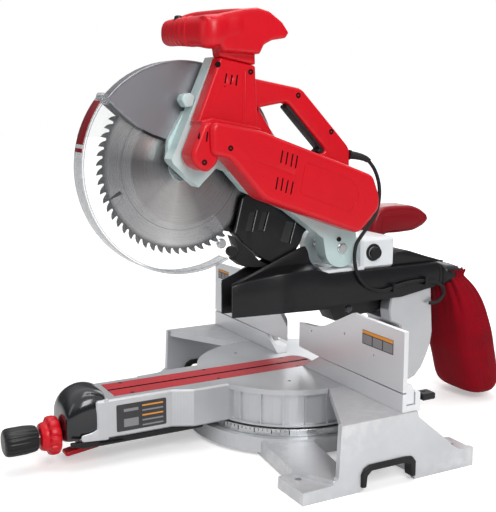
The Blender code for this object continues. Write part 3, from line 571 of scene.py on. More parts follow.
def tube(name, route, radius, sides=4):
    curve = curve_of(name, "3D", radius, sides, [[Vector(place) * MM for place in route]], False)
    curve.use_fill_caps = True
    return smooth(new_mesh_object(name, curve_mesh(name, curve)))


def boolean(obj, others):
    """Cuts others away at once. They are used up, and leave their material on the cut faces."""
    for other in others:
        modify(obj, "cut", "BOOLEAN", object=other, solver="EXACT", material_mode="TRANSFER")
        apply_all(obj)
        bpy.data.objects.remove(other)


def even_normals(obj):
    modify(obj, "even", "WEIGHTED_NORMAL", keep_sharp=True, weight=60)


def paint(obj, material):
    obj.data.materials.clear()
    obj.data.materials.append(material)
    return obj


def place(obj, body, slot, material=None, replaces=()):
    """What every new piece says: its body, its finish and the CAD nodes that it stands for."""
    if material:
        paint(obj, material)
    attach(obj, body)
    if replaces:
        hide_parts(*replaces)
    return obj


# ---------------------------------------------------------------- CAD nodes that stay

KEPT = {
    BASE: ["base_casting"],
    SILVER: ["bevel_arm"],
    TABLE: ["turntable"],
    FENCE: ["upper_fence_right", "upper_fence_left", "lower_fence_right", "lower_fence_left"],
    RED: ["motor_housing", "column", "carry_handle", "top_handle", "detent_lever", "fine_adjust_ring"],
    RED_PAINTED_SHADE: ["rear_cover"],
    KERF: ["kerf_plate_right", "kerf_plate_left"],
    BLACK: [
        "dust_chute", "deflector", "dust_elbow", "arm_bottom_cover", "miter_lock_knob", "fence_lock_right",
        "fence_lock_left", "bevel_lock_lever", "slide_lock_knob", "lock_down_pin", "trigger",
        "lock_off_button", "lead_clip_front", "lead_clip_rear",
    ],
    GLOSS_BLACK: ["arm_end_shroud"],
    RUBBER: [
        "base_grip_right", "base_grip_left", "carry_grip", "rubber_collar", "guard_roller", "dust_flap",
        "lead_loop", "lead_run", "lead_tail", "strain_relief",
    ],
    MINT: ["gear_case"],
    PALE: ["hinge_base"],
    STEEL: [
        "turntable_bolt", "bevel_shaft", "rail_right", "rail_left", "hinge_pin", "linear_bearing_right",
        "linear_bearing_left", "return_spring", "miter_scale", "spindle", "outer_flange", "arbor_bolt",
        "miter_lock_rod",
    ],
    GUARD: ["upper_guard"],
    BLADE: ["blade"],
    CLEAR: ["lower_guard"],
    CLOTH: ["dust_bag"],
}
EDGES = {
    "base_casting": 2.0, "turntable": 1.6, "bevel_arm": 3.0, "gear_case": 2.0, "hinge_base": 1.5,
    "upper_fence_right": 0.6, "upper_fence_left": 0.6, "lower_fence_right": 0.6, "lower_fence_left": 0.6,
    "kerf_plate_right": 0.5, "kerf_plate_left": 0.5, "upper_guard": 0.8, "dust_chute": 1.2,
}


def keep_nodes():
    """Finishes the CAD nodes and eases their edges; new pieces take the places of some of them."""
    for material, names in KEPT.items():
        for name in names:
            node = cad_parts[name]
            for slot in node.material_slots:
                slot.link = "OBJECT"
                slot.material = material
            modify(node, "weld", "WELD", merge_threshold=1e-5)
            modify(node, "planar", "DECIMATE", decimate_type="DISSOLVE", angle_limit=math.radians(0.6))
            modify(
                node, "edge", "BEVEL", width=EDGES.get(name, 0.8) * MM, segments=3, limit_method="ANGLE",
                angle_limit=math.radians(35), harden_normals=True,
            )


keep_nodes()

# ---------------------------------------------------------------- blade and guards


def blade():
    """Sixty hooked teeth with gullets, four expansion slots and the arbor hole."""
    def at(radius, angle):
        return BLADE_Y + radius * math.cos(angle), BLADE_Z + radius * math.sin(angle)

    teeth = 60
    tooth = [
        (0.0, 146.6), (1.6, 150.2), (3.4, 152.3), (3.75, 152.3), (3.45, 147.0), (3.3, 143.4), (3.9, 141.6),
        (4.8, 142.0), (5.4, 144.2),
    ]
    rim = [at(radius, math.radians(k * 360 / teeth + turn)) for k in range(teeth) for turn, radius in tooth]
    bore = arc((BLADE_Y, BLADE_Z), 12.9, 0, 350, 36)
    bend = [(139.5, 0.0), (128.0, -1.5), (120.0, -3.5), (116.5, -6.5), (118.5, -9.5)]
    half_width, first = 0.45, 27.7
    slots = []
    for k in range(4):
        there, back = [
            [at(radius, math.radians(90 * k + first + turn) + side / radius) for radius, turn in bend]
            for side in (half_width, -half_width)
        ]
        slots.append(there + back[::-1])
    disc = slab("saw_blade", rim, "YZ", -1.3, 1.3, 0.0, (bore, *slots), 1)
    place(disc, "blade", "blade_steel", BLADE, ["blade"])


def sector(inner, outer, first, last, count=48):
    centre = (BLADE_Y, BLADE_Z)
    return arc(centre, outer, first, last, count) + arc(centre, inner, last, first, count)


def lower_guard():
    """Two clear cheeks and a rim with a hook at its top, its red bands, and the roller's arm and screw."""
    rounding = [14] + [0] * 46 + [30, 34] + [0] * 46 + [10]
    outline = soften(sector(99, 184.4, 140, 303), rounding, 8)
    cheeks = [
        slab("guard_cheek", outline, "YZ", low, high, 0.7, (), 2)
        for low, high in ((16.4, 18.8), (-18.8, -16.4))
    ]
    rim = slab("guard_rim", sector(181.6, 184.7, 139.4, 296), "YZ", -18.9, 18.9, 1.2, (), 2)
    lip = slab("guard_lip", sector(178.6, 180.4, 140, 298), "YZ", 18.2, 19.0, 0.35, (), 2)
    hook_points = [(-345, 603), (-352, 614), (-361, 617), (-365, 608), (-357, 601), (-352, 596)]
    hook = slab("guard_hook", soften(hook_points, 5), "YZ", -9, 17, 2.2)
    body = join_meshes(*cheeks)
    body.name = "lower_guard_shell"
    place(body, "lower_guard", "clear_plastic", CLEAR, ["lower_guard"])
    place(join_meshes(rim, lip, hook), "lower_guard", "clear_plastic", CLEAR_RIM)
    # The bands take the darker copy of the red, a painted shade.
    for name, first, last in (("guard_band", 143, 167), ("guard_band_low", 169, 171)):
        band = slab(name, sector(184.0, 184.98, first, last, 20), "YZ", -15, 18.98, 0.2, (), 1)
        place(band, "lower_guard", "red_plastic", RED_PAINTED_SHADE)
    arm_outline = soften([(-166, 365), (-150, 372), (-128, 352), (-122, 342), (-134, 332), (-160, 350)], 9)
    arm = slab("roller_arm", arm_outline, "YZ", 16.5, 20.5, 1.0)
    place(arm, "lower_guard", "clear_plastic", CLEAR)
    screw = lathe("roller_arm_screw", "X", (-151, 356), [
        (0, 25), (2.2, 25), (2.4, 24), (6.4, 24), (7, 23.4), (7, 21.6), (9, 21.5), (9, 19.2), (0, 19.2),
    ], 32)
    place(screw, "lower_guard", "steel", STEEL)


def guard_trim():
    """The dark wear strip along the upper guard's open edge, and the bead rolled into its side."""
    line = [(-353, 599), (-340, 586), (-322, 570), (-304, 557), (-276, 543.5), (-252, 535.5)]
    upper = [(y + 2.2, z + 4.2) for y, z in line]
    strip = slab("guard_wear_strip", line + upper[::-1], "YZ", 13.6, 15.0, 0.4)
    place(strip, "head", "guard_steel", BLACK)
    bead = slab("guard_rolled_edge", sector(174.5, 178.0, 42, 142, 60), "YZ", 13.2, 15.2, 0.9)
    place(bead, "head", "guard_steel", GUARD)


# ---------------------------------------------------------------- head


def slot_cutter(name, ends, width, depth):
    """A rounded slot between two places, cut into a face that looks along +X; its walls take the near-black
    finish, a painted shade.
    """
    a, b = (Vector(end) for end in ends)
    along = (b - a).normalized()
    across = Vector((-along.y, along.x)) * width / 2
    ring = [tuple(corner) for corner in (a + across, a - across, b - across, b + across)]
    return paint(slab(name, soften(ring, width * 0.45, 3), "YZ", *depth, 0.0), SHADE_AND_SCREW_BLACK)


def screw(name, y, z, face, radius=4.8):
    """A small dark screw head, dimpled in its middle, in one of the head's faces that look along +X."""
    head = lathe(name, "X", (y, z), [
        (0, face + 0.1), (radius * 0.28, face + 0.1), (radius * 0.3, face + 0.8), (radius * 0.8, face + 0.9),
        (radius, face + 0.5), (radius, face - 1.5), (0, face - 1.5),
    ], 24)
    place(head, "head", "black_plastic", SHADE_AND_SCREW_BLACK)


COVER_SEAT = 55
VENT = 2.6
MOTOR = [
    (-212, 516), (-178, 509), (-114, 438), (79, 369), (95, 383), (124, 411), (124, 434),
    (109, 472), (63, 489), (-122, 555), (-205, 571), (-214, 560),
]
MOTOR_NOSE = [
    (-245, 517), (-236, 497), (-215, 487), (-196, 503), (-190, 540), (-186, 566), (-205, 571), (-222, 569),
]
COLUMN = [(-225, 570), (-183, 673), (-117, 660), (-114, 552.8), (-122, 548), (-205, 560), (-222, 562)]
SLOTS = [
    ((-81, 521), (-85, 500)), ((-71, 518), (-75, 497)), ((-61, 515), (-65, 493)), ((-52, 512), (-56, 490)),
    ((-90, 477), (-94, 456)), ((-80, 475), (-84, 453)), ((-70, 471), (-75, 449)), ((-60, 468), (-65, 446)),
]


def motor():
    """The motor's cover with its vents and grooves, the cover over the spindle, and the ridge on top."""
    face, nose_face = 112, 103
    groove = (face - 0.8, face + 2)
    body = paint(slab("motor_cover", soften(MOTOR, 10, 5), "YZ", COVER_SEAT, face, 9, (), 6), RED)
    cutters = [slot_cutter("vent_%d" % k, ends, 2.7, (face - 5, face + 2)) for k, ends in enumerate(SLOTS)]
    panel = soften([(-36, 501), (62, 466), (78, 440), (60, 408), (-48, 447)], 9)
    inner = [(y * 0.975 + 0.4, z * 0.975 + 11.5) for y, z in panel]
    cutters.append(paint(slab("panel_groove", panel, "YZ", *groove, 0.0, (inner,)), RED))
    line = [(-140, 509), (-58, 480.4), (-54, 476), (-56.5, 474), (-60.4, 478.4), (-141, 506.9)]
    cutters.append(paint(slab("side_groove", line, "YZ", *groove, 0.0), RED))
    boolean(body, cutters)
    even_normals(body)
    place(body, "head", "red_plastic", None, ["motor_housing"])
    nose = paint(slab("arbor_cover", soften(MOTOR_NOSE, 9, 5), "YZ", COVER_SEAT, nose_face, 8, (), 6), RED)
    slots = [((-229, 553), (-231, 542)), ((-216, 554), (-218, 538))]
    depth = (nose_face - 5, nose_face + 3)
    boolean(nose, [slot_cutter("nose_vent_%d" % k, ends, VENT, depth) for k, ends in enumerate(slots)])
    even_normals(nose)
    place(nose, "head", "red_plastic")
    screw("screw_motor_0", -179, 527, face - 0.4)
    screw("screw_nose_0", -233, 521, nose_face - 1.5)
    screw("screw_nose_1", -222, 505, nose_face - 0.5)
    ridge = [(-226, 571), (-205, 576), (-122, 560), (-114, 556), (-122, 551), (-205, 566), (-222, 562)]
    place(slab("cover_ridge", soften(ridge, 3), "YZ", 56, 100, 3), "head", "red_plastic", RED)


def column():
    """The cover of the column under the grip, with a sunk panel, three vents and a dot."""
    face = 84
    depth = (face - 6, face + 2)
    body = paint(slab("column_cover", soften(COLUMN, 4), "YZ", COVER_SEAT, face, 4.5, (), 5), RED)
    panel = soften([(-178, 655), (-141, 650), (-142, 561), (-206, 576)], 3)
    slots = [((-171, 647), (-174, 631)), ((-161, 645), (-164, 629)), ((-151, 645), (-154, 627))]
    boolean(body, [
        paint(slab("column_panel", panel, "YZ", face - 0.9, face + 2, 0.0), RED),
        *[slot_cutter("column_vent_%d" % k, ends, VENT, depth) for k, ends in enumerate(slots)],
        slot_cutter("column_dot", ((-174.5, 626.5), (-174.9, 625)), 2.4, depth),
    ])
    even_normals(body)
    place(body, "head", "red_plastic", None, ["column"])
    bead = [(-138, 652), (-135, 652), (-134, 562), (-138, 562)]
    rail = slab("column_bead", bead, "YZ", face - 2, face + 0.9, 1.3)
    place(rail, "head", "red_plastic", RED)
    screw("screw_column_0", -187, 661, face - 0.4)
    screw("screw_column_1", -127, 650, face - 0.4)


CARRY = [(-116, 641), (-24, 625), (-16, 621), (79, 524), (84, 514), (84, 470), (-70, 520), (-113, 548)]
WINDOW = [(-104, 591), (-52, 600), (-46, 597), (28, 519), (28, 514), (18, 511), (-70, 538), (-75, 548)]


def carry_handle():
    """The handle behind the column, open in the middle, with two screws and a rubber lining."""
    face = 72
    window = soften(WINDOW, 6, 3)
    body = slab("carry_handle_shell", soften(CARRY, 8, 4), "YZ", 45, face, 6.5, (window,), 5)
    place(body, "head", "red_plastic", RED, ["carry_handle"])
    screw("screw_carry_0", -27, 612, face - 0.6, 5.2)
    screw("screw_carry_1", 42, 549, face - 0.6, 5.2)
    lining = [(-46, 597), (28, 519), (28, 513), (18, 511), (14, 516), (20, 519), (-50, 592)]
    grip = slab("grip_lining", soften(lining, 2.5), "YZ", 47, 70, 1.6)
    place(grip, "head", "black_rubber", RUBBER, ["carry_grip"])


GRIP = [
    (92, -202, 712, 20, 27), (70, -211, 713, 19, 25), (35, -219, 714.5, 18, 23), (0, -221, 715.5, 17, 21.5),
    (-30, -218, 716, 17, 21), (-53, -210, 717, 15, 20.5), (-65, -196, 721, 12, 21), (-61, -181, 728, 9, 22),
    (-44, -168, 732, 8, 22.4), (-16, -158, 733, 8, 22), (20, -150, 733, 8, 21.5), (60, -142, 732, 8, 21),
    (86, -140, 729, 9, 21), (98, -156, 724, 9, 20), (98, -180, 718, 10, 22),
]


def grip_ring(share, grow=1.0, count=28):
    """The grip's section at a place along its loop."""
    spot = (share % 1.0) * len(GRIP)
    k, t = int(spot), spot - int(spot)
    p0, p1, p2, p3 = (Vector(GRIP[(k + j) % len(GRIP)]) for j in (-1, 0, 1, 2))
    x, y, z, wide, tall = eased(p0, p1, p2, p3, t)
    bend, twist = 2 * p0 - 5 * p1 + 4 * p2 - p3, 3 * p1 - p0 - 3 * p2 + p3
    along = 0.5 * ((p2 - p0) + 2 * bend * t + 3 * twist * t**2)
    flat = Vector((along[0], along[1], 0)).normalized()
    side = Vector((flat.y, -flat.x, 0))
    ring = []
    for j in range(count):
        c, s = oval(j, count, 2.7)
        ring.append(tuple(Vector((x, y, z)) + side * wide * grow * c + Vector((0, 0, tall * grow * s))))
    return ring


def top_handle():
    """A D-shaped grip with a tall back wall, and a wide wing on its right that joins the column."""
    wing = [
        (-186, 681), (-200, 702), (-214, 719), (-222, 735), (-196, 739), (-172, 744), (-150, 749),
        (-124, 752), (-102, 747), (-78, 731), (-65, 714), (-71, 705), (-96, 701), (-112, 693), (-120, 678),
    ]
    neck = [(-184, 673.4), (-188, 700), (-108, 704), (-119, 690), (-118, 661)]
    rings = [grip_ring(k / 120) for k in range(120)]
    body = loft("loop", [*rings, rings[0]], False)
    edit(body, lambda bm: bmesh.ops.remove_doubles(bm, verts=bm.verts, dist=WELD))
    core = [(y * 0.94 - 9, z * 0.985 + 10) for y, z in wing]
    join_meshes(
        body, slab("wing", wing, "YZ", 68, 106, 6), slab("wing_core", core, "YZ", 58, 90, 4),
        slab("neck", neck, "YZ", 55.5, 86, 4),
    )
    body.name = "top_handle_shell"
    modify(body, "mould", "REMESH", mode="VOXEL", voxel_size=1.8 * MM)
    modify(body, "relax", "SMOOTH", factor=0.5, iterations=5)
    apply_all(body)
    boolean(body, [slab("trigger_room", box(-43, 63, -219, -199.5), "XY", 690, 733, 0.0)])
    modify(body, "thin", "DECIMATE", ratio=0.45)
    smooth(apply_all(body), 50)
    place(body, "head", "red_plastic", RED, ["top_handle"])
    ribs = []
    for k in range(7):
        middle = 0.108 + 0.0262 * k
        ribs.append(loft("handle_ribs", [
            grip_ring(middle + 0.0088 * t, 1.0 + 0.055 * math.sqrt(max(0.0, 1 - t * t)) - 0.012)
            for t in (-1, -0.8, -0.45, 0, 0.45, 0.8, 1)
        ]))
    place(smooth(join_meshes(*ribs), 60), "head", "red_plastic", RED)
    cap = [(0, 742), (4, 741.6), (6.4, 740), (7.2, 736), (7.2, 730), (0, 730)]
    button = lathe("lock_off_cap", "Z", (16, -226), cap, 28)
    place(button, "lock_off_button", "black_plastic", BLACK, ["lock_off_button"])


def case_lug():
    """The small cast lug on the gear case's front edge, beside the upper guard."""
    outline = soften([(-238, 604), (-234, 613), (-222, 616), (-214, 610), (-218, 594), (-230, 592)], 3)
    place(slab("case_lug", outline, "YZ", 30, 53, 2.2), "head", "silver_paint", MINT)


def deflector():
    """The chip deflector behind the blade, slotted for it, with three glossy windows, and thin steel rods
    along their edges and its front edge as painted highlights.
    """
    outline = [
        (-105, 436), (-121, 372), (-100, 350), (-84, 337), (-70, 324), (-40, 309), (-20, 306), (-4, 318),
        (16, 344), (22, 362), (50, 380), (20, 420), (-40, 446), (-60, 446),
    ]
    body = paint(slab("deflector_shell", soften(outline, 7), "YZ", -15, 15, 2.0), BLACK)
    windows = (
        [(-92, 406), (-101, 372), (-86, 372), (-76, 410)], [(-66, 407), (-75, 372), (-62, 371), (-52, 405)],
        [(-16, 386), (-28, 350), (-7, 344), (5, 384)],
    )
    cutters = [
        paint(slab("window_%d" % k, soften(ring, 1.5, 2), "YZ", 12.6, 17, 0.0), GLOSS_BLACK)
        for k, ring in enumerate(windows)
    ]
    slot = paint(slab("blade_slot", arc((BLADE_Y, BLADE_Z), 157, 0, 355, 72), "YZ", -8, 8, 0.0), BLACK)
    boolean(body, [*cutters, slot])
    even_normals(body)
    place(body, "head", "black_plastic", None, ["deflector"])
    # Painted highlights: thin steel rods laid where the windows' edges and the front edge catch the light.
    lines = [
        ((-76, 410), (-86, 372)), ((-52, 405), (-62, 371)), ((5, 384), (-7, 344)), ((-105, 432), (-120, 373)),
    ]
    edges = [tube("deflector_painted_highlights", [(14.9, *a), (14.9, *b)], 0.75) for a, b in lines]
    place(join_meshes(*edges), "head", "steel", STEEL)


# ---------------------------------------------------------------- carriage


def between(y, table):
    """The value at y in a table of (y, value) pairs, on straight lines between them."""
    for (y0, v0), (y1, v1) in zip(table, table[1:]):
        if y <= y1:
            return v0 + (v1 - v0) * clamp((y - y0) / (y1 - y0))
    return table[-1][1]


def chute():
    """Two walls that flare from the narrow mouth to the covers over the rails, with a roof and a floor."""
    width = [(-130, 22.6), (-118, 26), (-96, 38), (-70, 52), (-50, 59.5), (-36, 61.2), (305, 61.2)]
    fin = [
        (-130, 281), (15, 338), (22, 338), (27, 330), (31, 314), (38, 303), (50, 294), (64, 290.4),
        (305, 290.4),
    ]
    wall_top = [
        (-130, 279), (-110, 285), (-84, 292), (-60, 298), (-20, 301), (14, 302), (26, 300), (38, 296),
        (50, 291.5), (64, 290.2), (305, 290.2),
    ]
    duct = [(-130, 219), (76, 213), (90, 189), (187, 199), (245, 215), (305, 236)]
    skirts = {
        1: [(-130, 219), (-60, 226), (-20, 230), (217, 230), (305, 244)],
        -1: [(-130, 219), (-60, 240), (-20, 247), (217, 247), (305, 261)],
    }
    stations = [
        -130, -124, -118, -108, -96, -84, -70, -60, -50, -43, -36, -20, 0, 15, 22, 25, 27, 29, 31, 34, 38,
        43, 50, 57, 64, 76, 83, 90, 120, 187, 217, 245, 275, 304.8,
    ]
    walls = []
    for side in (1, -1):
        rings = []
        for y in stations:
            w, t, s = between(y, width), between(y, fin), between(y, wall_top)
            b, d = between(y, skirts[side]), between(y, duct)
            s = min(s, t - 0.2)
            flare = clamp((w - 26) / 34)
            inside = max(w - 2.8, 22.2)
            rings.append([(side * x, y, z) for x, z in (
                (w, b), (w, (b + s) / 2), (w, s - 4), (w - 1.3, s - 1.2), (w - 4, s), (23.4, s + 5 * flare),
                (22, t - 1), (21.2, t), (19.6, t), (19.2, t - 1), (19.2, d), (22, d), (22.1, s - 3.5),
                (inside, s - 6), (inside, b),
            )])
        walls.append(loft("chute_wall", rings))
    roof = slab("chute_roof", box(-20, 20, 64, 304.6), "XY", 287, 290.3, 0.6)
    floor_line = [(y, between(y, duct)) for y in (-86, -40, 20, 76, 90, 130, 187, 215, 245, 275, 304.8)]
    floor = slab("chute_floor", floor_line + [(y, z + 2.8) for y, z in floor_line[::-1]], "YZ", -20, 20, 0.5)
    hump_line = [
        (201.5, 290), (203, 314), (208, 318), (238, 318), (284, 303), (326, 290.5), (326, 289.2),
        (304, 289.2),
    ]
    hump = slab("chute_hump", soften(hump_line, 5), "YZ", -14, 52, 3.5)
    front = slab("roof_front", box(-61, 61, 60, 304.6), "XY", 287.4, 290.3, 0.8)
    body = join_meshes(*walls, roof, floor, hump, front)
    body.name = "dust_chute_shell"
    smooth(body, 40)
    place(body, "carriage", "black_plastic", BLACK, ["dust_chute"])
    profile = [(0, 66), (3, 66), (6.4, 65.2), (7, 64), (7, 61), (4, 60.6), (0, 60.6)]
    knob = lathe("chute_knob", "X", (93, 221), profile, 28)
    place(knob, "carriage", "black_plastic", GLOSS_BLACK)
    profile = [(0, 314), (3, 314), (3.4, 313), (3.4, 308), (0, 308)]
    for k, x in enumerate((-16.2, 39.6)):
        head = lathe("hump_screw_%d" % k, "Z", (x, 250), profile, 20)
        place(head, "carriage", "steel", STEEL)


def hinge_details():
    """Bolt heads, the lock-down hole's collar and the hinge pin's cap."""
    for name, body, y, z, x, radius, finish in (
        ("hinge_cap", "head", 80, 335, 55, 9.5, STEEL),
        ("hinge_set_screw", "head", 73, 352, 54.8, 4.2, BLACK),
        ("clamp_screw", "carriage", 112, 304, 58, 4.0, STEEL),
    ):
        cap = lathe(name, "X", (y, z), [
            (0, x + 1.6), (radius * 0.45, x + 1.6), (radius * 0.5, x + 3.2), (radius * 0.9, x + 3.2),
            (radius, x + 2.6), (radius, x - 1), (0, x - 1),
        ], 30)
        place(cap, body, "steel", finish)
    profile = [(11.4, 59.6), (15.5, 59.6), (16.5, 58.8), (16.5, 57), (11.4, 57), (11.4, 59.6)]
    collar = lathe("lock_down_collar", "X", (150, 322), profile, 40)
    place(collar, "carriage", "black_rubber", RUBBER)


def spring():
    """The return spring as a real coil round the hinge pin."""
    turns, radius, left, length, steps = 7.5, 12.2, -23.5, 42.0, 20
    points = []
    for k in range(int(turns * steps) + 1):
        angle = math.tau * k / steps
        x = left + length * k / (turns * steps)
        points.append((x, PIVOT_Y + radius * math.cos(angle), PIVOT_Z + radius * math.sin(angle)))
    place(tube("return_coil", points, 2.2, 3), "carriage", "steel", STEEL, ["return_spring"])


def close_bottom(bm):
    bottom = [e for e in bm.edges if e.is_boundary and all(v.co.z < 0.06 for v in e.verts)]
    bmesh.ops.holes_fill(bm, edges=bottom)


def bag():
    """A gathered bag that hangs from the elbow: folded at its mouth, full and boxy at the bottom."""
    rows = [
        (268, 17, 364, 43, 28, 2.3), (263, 17, 364, 41, 26.5, 2.3), (257, 18, 364, 39, 25, 2.3),
        (250, 20, 366, 42.5, 29, 2.3), (238, 23, 371, 49, 34.5, 2.3), (220, 26, 378, 55, 40, 2.4),
        (196, 28, 386, 59.5, 44, 2.5), (168, 30, 392, 62, 47.5, 2.7), (138, 31, 398, 64, 50, 2.9),
        (108, 31, 402, 65, 51, 3.1), (78, 31, 408.5, 65.5, 48.5, 3.4), (52, 31, 413, 65.5, 45, 3.8),
        (34, 31, 415.5, 65, 41.5, 3.8), (22, 31, 416.5, 61.5, 36.5, 3.5), (15, 31, 417, 54, 29, 3.2),
        (12.2, 31, 417, 40, 20, 2.8), (11.4, 31, 417, 16, 9, 2.4),
    ]
    rows = smooth_route(rows, count=3)
    mouth, count = 257, 144
    rings = []
    for z, xc, yc, rx, ry, power in rows:
        gather = math.exp(-((mouth - z) / 66) ** 2) if z < mouth else 1.0
        sag = clamp((250 - z) / 60) * clamp((z - 12) / 90, 0.15)
        ring = []
        for k in range(count):
            a = math.tau * k / count
            c, s = oval(k, count, power)
            pleat = 0.6 * abs(math.sin(8.5 * a + 0.4)) + 0.4 * abs(math.sin(5.5 * a + 1.7)) - 0.55
            drape = (
                0.55 * math.sin(3 * a + 0.8 + 0.010 * z) + 0.35 * math.sin(5 * a - 0.014 * z + 2.0)
                + 0.25 * math.sin(9 * a + 0.02 * z)
            )
            r = 1 + 0.15 * gather * pleat + 0.05 * sag * drape
            ruffle = 2.6 * math.sin(17 * a + 0.6) * clamp((z - mouth) / 10)
            ring.append((xc + rx * c * r, yc + ry * s * r, z + ruffle))
        rings.append(ring)
    body = loft("dust_bag_cloth", rings, False)
    edit(body, close_bottom)
    modify(body, "thick", "SOLIDIFY", thickness=0.8 * MM, offset=-1)
    place(subdivide(body, 180), "carriage", "bag_cloth", CLOTH, ["dust_bag"])
    seam = [(xc + rx * 0.985, yc - ry * 0.14, z) for z, xc, yc, rx, ry, _ in rows[6:-6]]
    place(tube("bag_side_seam", smooth_route(seam, 6), 0.9, 2), "carriage", "bag_cloth", CLOTH)


def elbow():
    """The end cap over the rails, its two collar rings, and the elbow that turns down into the bag."""
    def ring(y, x0, x1, z0, z1, power=5.0, count=40):
        out = []
        for k in range(count):
            c, s = oval(k, count, power)
            out.append(((x0 + x1) / 2 + (x1 - x0) / 2 * c, y, (z0 + z1) / 2 + (z1 - z0) / 2 * s))
        return out

    cap = loft("rail_end_cap", [
        ring(304.9, -59, 60, 238, 291.5), ring(309, -59, 60, 238, 289.5), ring(318, -58, 59.4, 239, 285.5),
        ring(326, -56, 58.6, 241, 281), ring(329.4, -52, 57, 244, 277.5),
    ])
    place(cap, "carriage", "black_plastic", BLACK)
    for k, (y, top) in enumerate(((313, 289.3), (322.5, 284.9))):
        collar = loft("collar_ring_%d" % k, [
            ring(y - 3, -58, 59.5, 239, top - 1), ring(y - 2, -60, 60.9, 237.6, top + 0.8),
            ring(y + 2, -60, 60.7, 237.8, top - 0.6), ring(y + 3, -58, 59.3, 239, top - 3),
        ])
        place(collar, "carriage", "black_rubber", RUBBER, ["rubber_collar"] if k == 0 else ())
    sections = [
        (0, 326, 262, 40, 20.5), (0, 338, 261, 40, 21), (10, 350, 259, 40, 22), (28, 361, 256, 39.6, 23.5),
        (48, 368, 251.5, 38.6, 24), (68, 371, 246.5, 37.6, 24), (84, 371.5, 240, 36.6, 23.4),
    ]
    rings = []
    for lean, y, z, rx, rz in sections:
        t = math.radians(lean)
        spots = [oval(k, 48, 3.2) for k in range(48)]
        across, up = 0.9 * math.sin(t), math.cos(t)
        rings.append([(16 + rx * c, y + rz * s * across, z + rz * s * up) for c, s in spots])
    bend = subdivide(loft("dust_elbow_shell", rings), 60)
    place(bend, "carriage", "black_plastic", BLACK, ["dust_elbow"])


def rear_cover():
    """The red cover behind the hinge, with a raised panel on its side, both in the darker red that is painted
    shade.
    """
    outline = [
        (200, 338), (203, 366), (214, 388), (232, 396), (264, 397), (300, 395), (322, 387), (340, 374),
        (343, 364), (332, 353), (307, 343), (262, 341), (238, 342), (222, 332),
    ]
    body = slab("rear_cover_shell", soften(outline, 9, 5), "YZ", -74, -16, 9, (), 6)
    even_normals(body)
    place(body, "carriage", "red_plastic", RED_PAINTED_SHADE, ["rear_cover"])
    panel = [(222, 344), (226, 378), (300, 378), (322, 368), (300, 354)]
    raised = slab("rear_cover_panel", soften(panel, 6), "YZ", -16.3, -15.2, 0.5)
    place(raised, "carriage", "red_plastic", RED_PAINTED_SHADE)


LEAD_X, LEAD_RADIUS = 67, 3.4
LOOP = [
    (72, 113.4, 502.8), (72, 122, 497), (71, 139, 478), (70, 150, 452), (68, 153, 424),
    *[(LEAD_X, y, z) for y, z in (
        (147, 397), (132, 376), (117, 359), (105, 343), (101, 325), (102, 305), (109, 284), (124, 265),
        (147, 252), (168, 248), (186, 250.6),
    )],
]
RUN = [(LEAD_X, y, z) for y, z in ((186.4, 250.7), (206, 255), (230, 258.5), (256, 259), (275, 258))]
TAIL = [
    *[(LEAD_X, y, z) for y, z in (
        (276, 257.9), (288, 254), (301, 250), (313, 242), (317, 231), (312, 220), (301, 213),
    )],
    (65, 290, 211), (61.6, 284, 211.5),
]


def leads():
    """The motor's lead, from its boot: a loop down to the carriage, a run on it, a tail to the bevel arm."""
    loop = tube("motor_lead_loop", smooth_route(LOOP, 3), LEAD_RADIUS, 5)
    paint(loop, RUBBER)
    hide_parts("lead_loop")
    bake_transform(loop)
    run = tube("motor_lead_run", smooth_route(RUN, 3), LEAD_RADIUS, 5)
    place(run, "carriage", "black_rubber", RUBBER, ["lead_run"])
    tail = tube("motor_lead_tail", smooth_route(TAIL, 3), LEAD_RADIUS, 5)
    paint(tail, RUBBER)
    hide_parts("lead_tail")
    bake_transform(tail)
    rings = []
    for x, y, z, r, rise in (
        (66, 83.5, 507, 9.0, 0.20), (66, 87, 506.6, 9.0, 0.20), (66.3, 87.2, 506.5, 7.6, 0.25),
        (68, 98, 505, 7.0, 0.3), (70.4, 108, 502.6, 6.4, 0.4), (71.8, 117, 499.4, 5.7, 0.6),
        (72, 124, 495.2, 5.2, 0.9), (72, 124.6, 494.8, 4.2, 0.9),
    ):
        spots = arc((0, 0), r, 0, 345, 24)
        rings.append([(x + a, y + b * math.sin(rise), z + b * math.cos(rise)) for a, b in spots])
    place(loft("lead_boot", rings), "head", "black_rubber", RUBBER, ["strain_relief"])


# ---------------------------------------------------------------- arm end


def fluted(obj, axis_z, inner, depth, count, power=1.0):
    """Pulls the outside of a turned piece in along evenly spaced flutes round a Y axis."""
    for vert in obj.data.vertices:
        x, z = vert.co.x, vert.co.z - axis_z * MM
        r = math.hypot(x, z)
        if r > inner * MM:
            wave = 0.5 - 0.5 * math.cos(count * math.atan2(z, x))
            shrink = 1 - depth * MM / r * wave**power
            vert.co.x, vert.co.z = x * shrink, z * shrink + axis_z * MM
    return obj


def knob_and_ring():
    """The fluted miter lock knob and the lobed adjusting ring behind it."""
    knob_profile = [
        (0, -540.6), (12, -540.8), (18, -540.4), (21.4, -538.4), (23.4, -534), (24, -528), (24, -506),
        (22.4, -492), (20.6, -486.4), (17, -484.8), (7.6, -484.8), (0, -484.8),
    ]
    knob = fluted(lathe("lock_knob", "Y", (0, LOCK_Z), knob_profile, 180), LOCK_Z, 18.5, 1.1, 18, 3.0)
    place(knob, "miter_lock_knob", "black_plastic", BLACK, ["miter_lock_knob"])
    ring_profile = [
        (7.6, -481), (19.6, -481), (22, -479.4), (24, -474.6), (24.6, -470), (28, -468.4), (31.6, -466.6),
        (32.8, -463), (32.8, -455), (31, -451), (27, -449), (20, -447.2), (7.6, -447.2), (7.6, -481),
    ]
    ring = fluted(lathe("adjust_ring", "Y", (0, LOCK_Z), ring_profile, 192), LOCK_Z, 25.5, 3.4, 12, 4.0)
    place(ring, "fine_adjust_ring", "red_plastic", RED, ["fine_adjust_ring"])


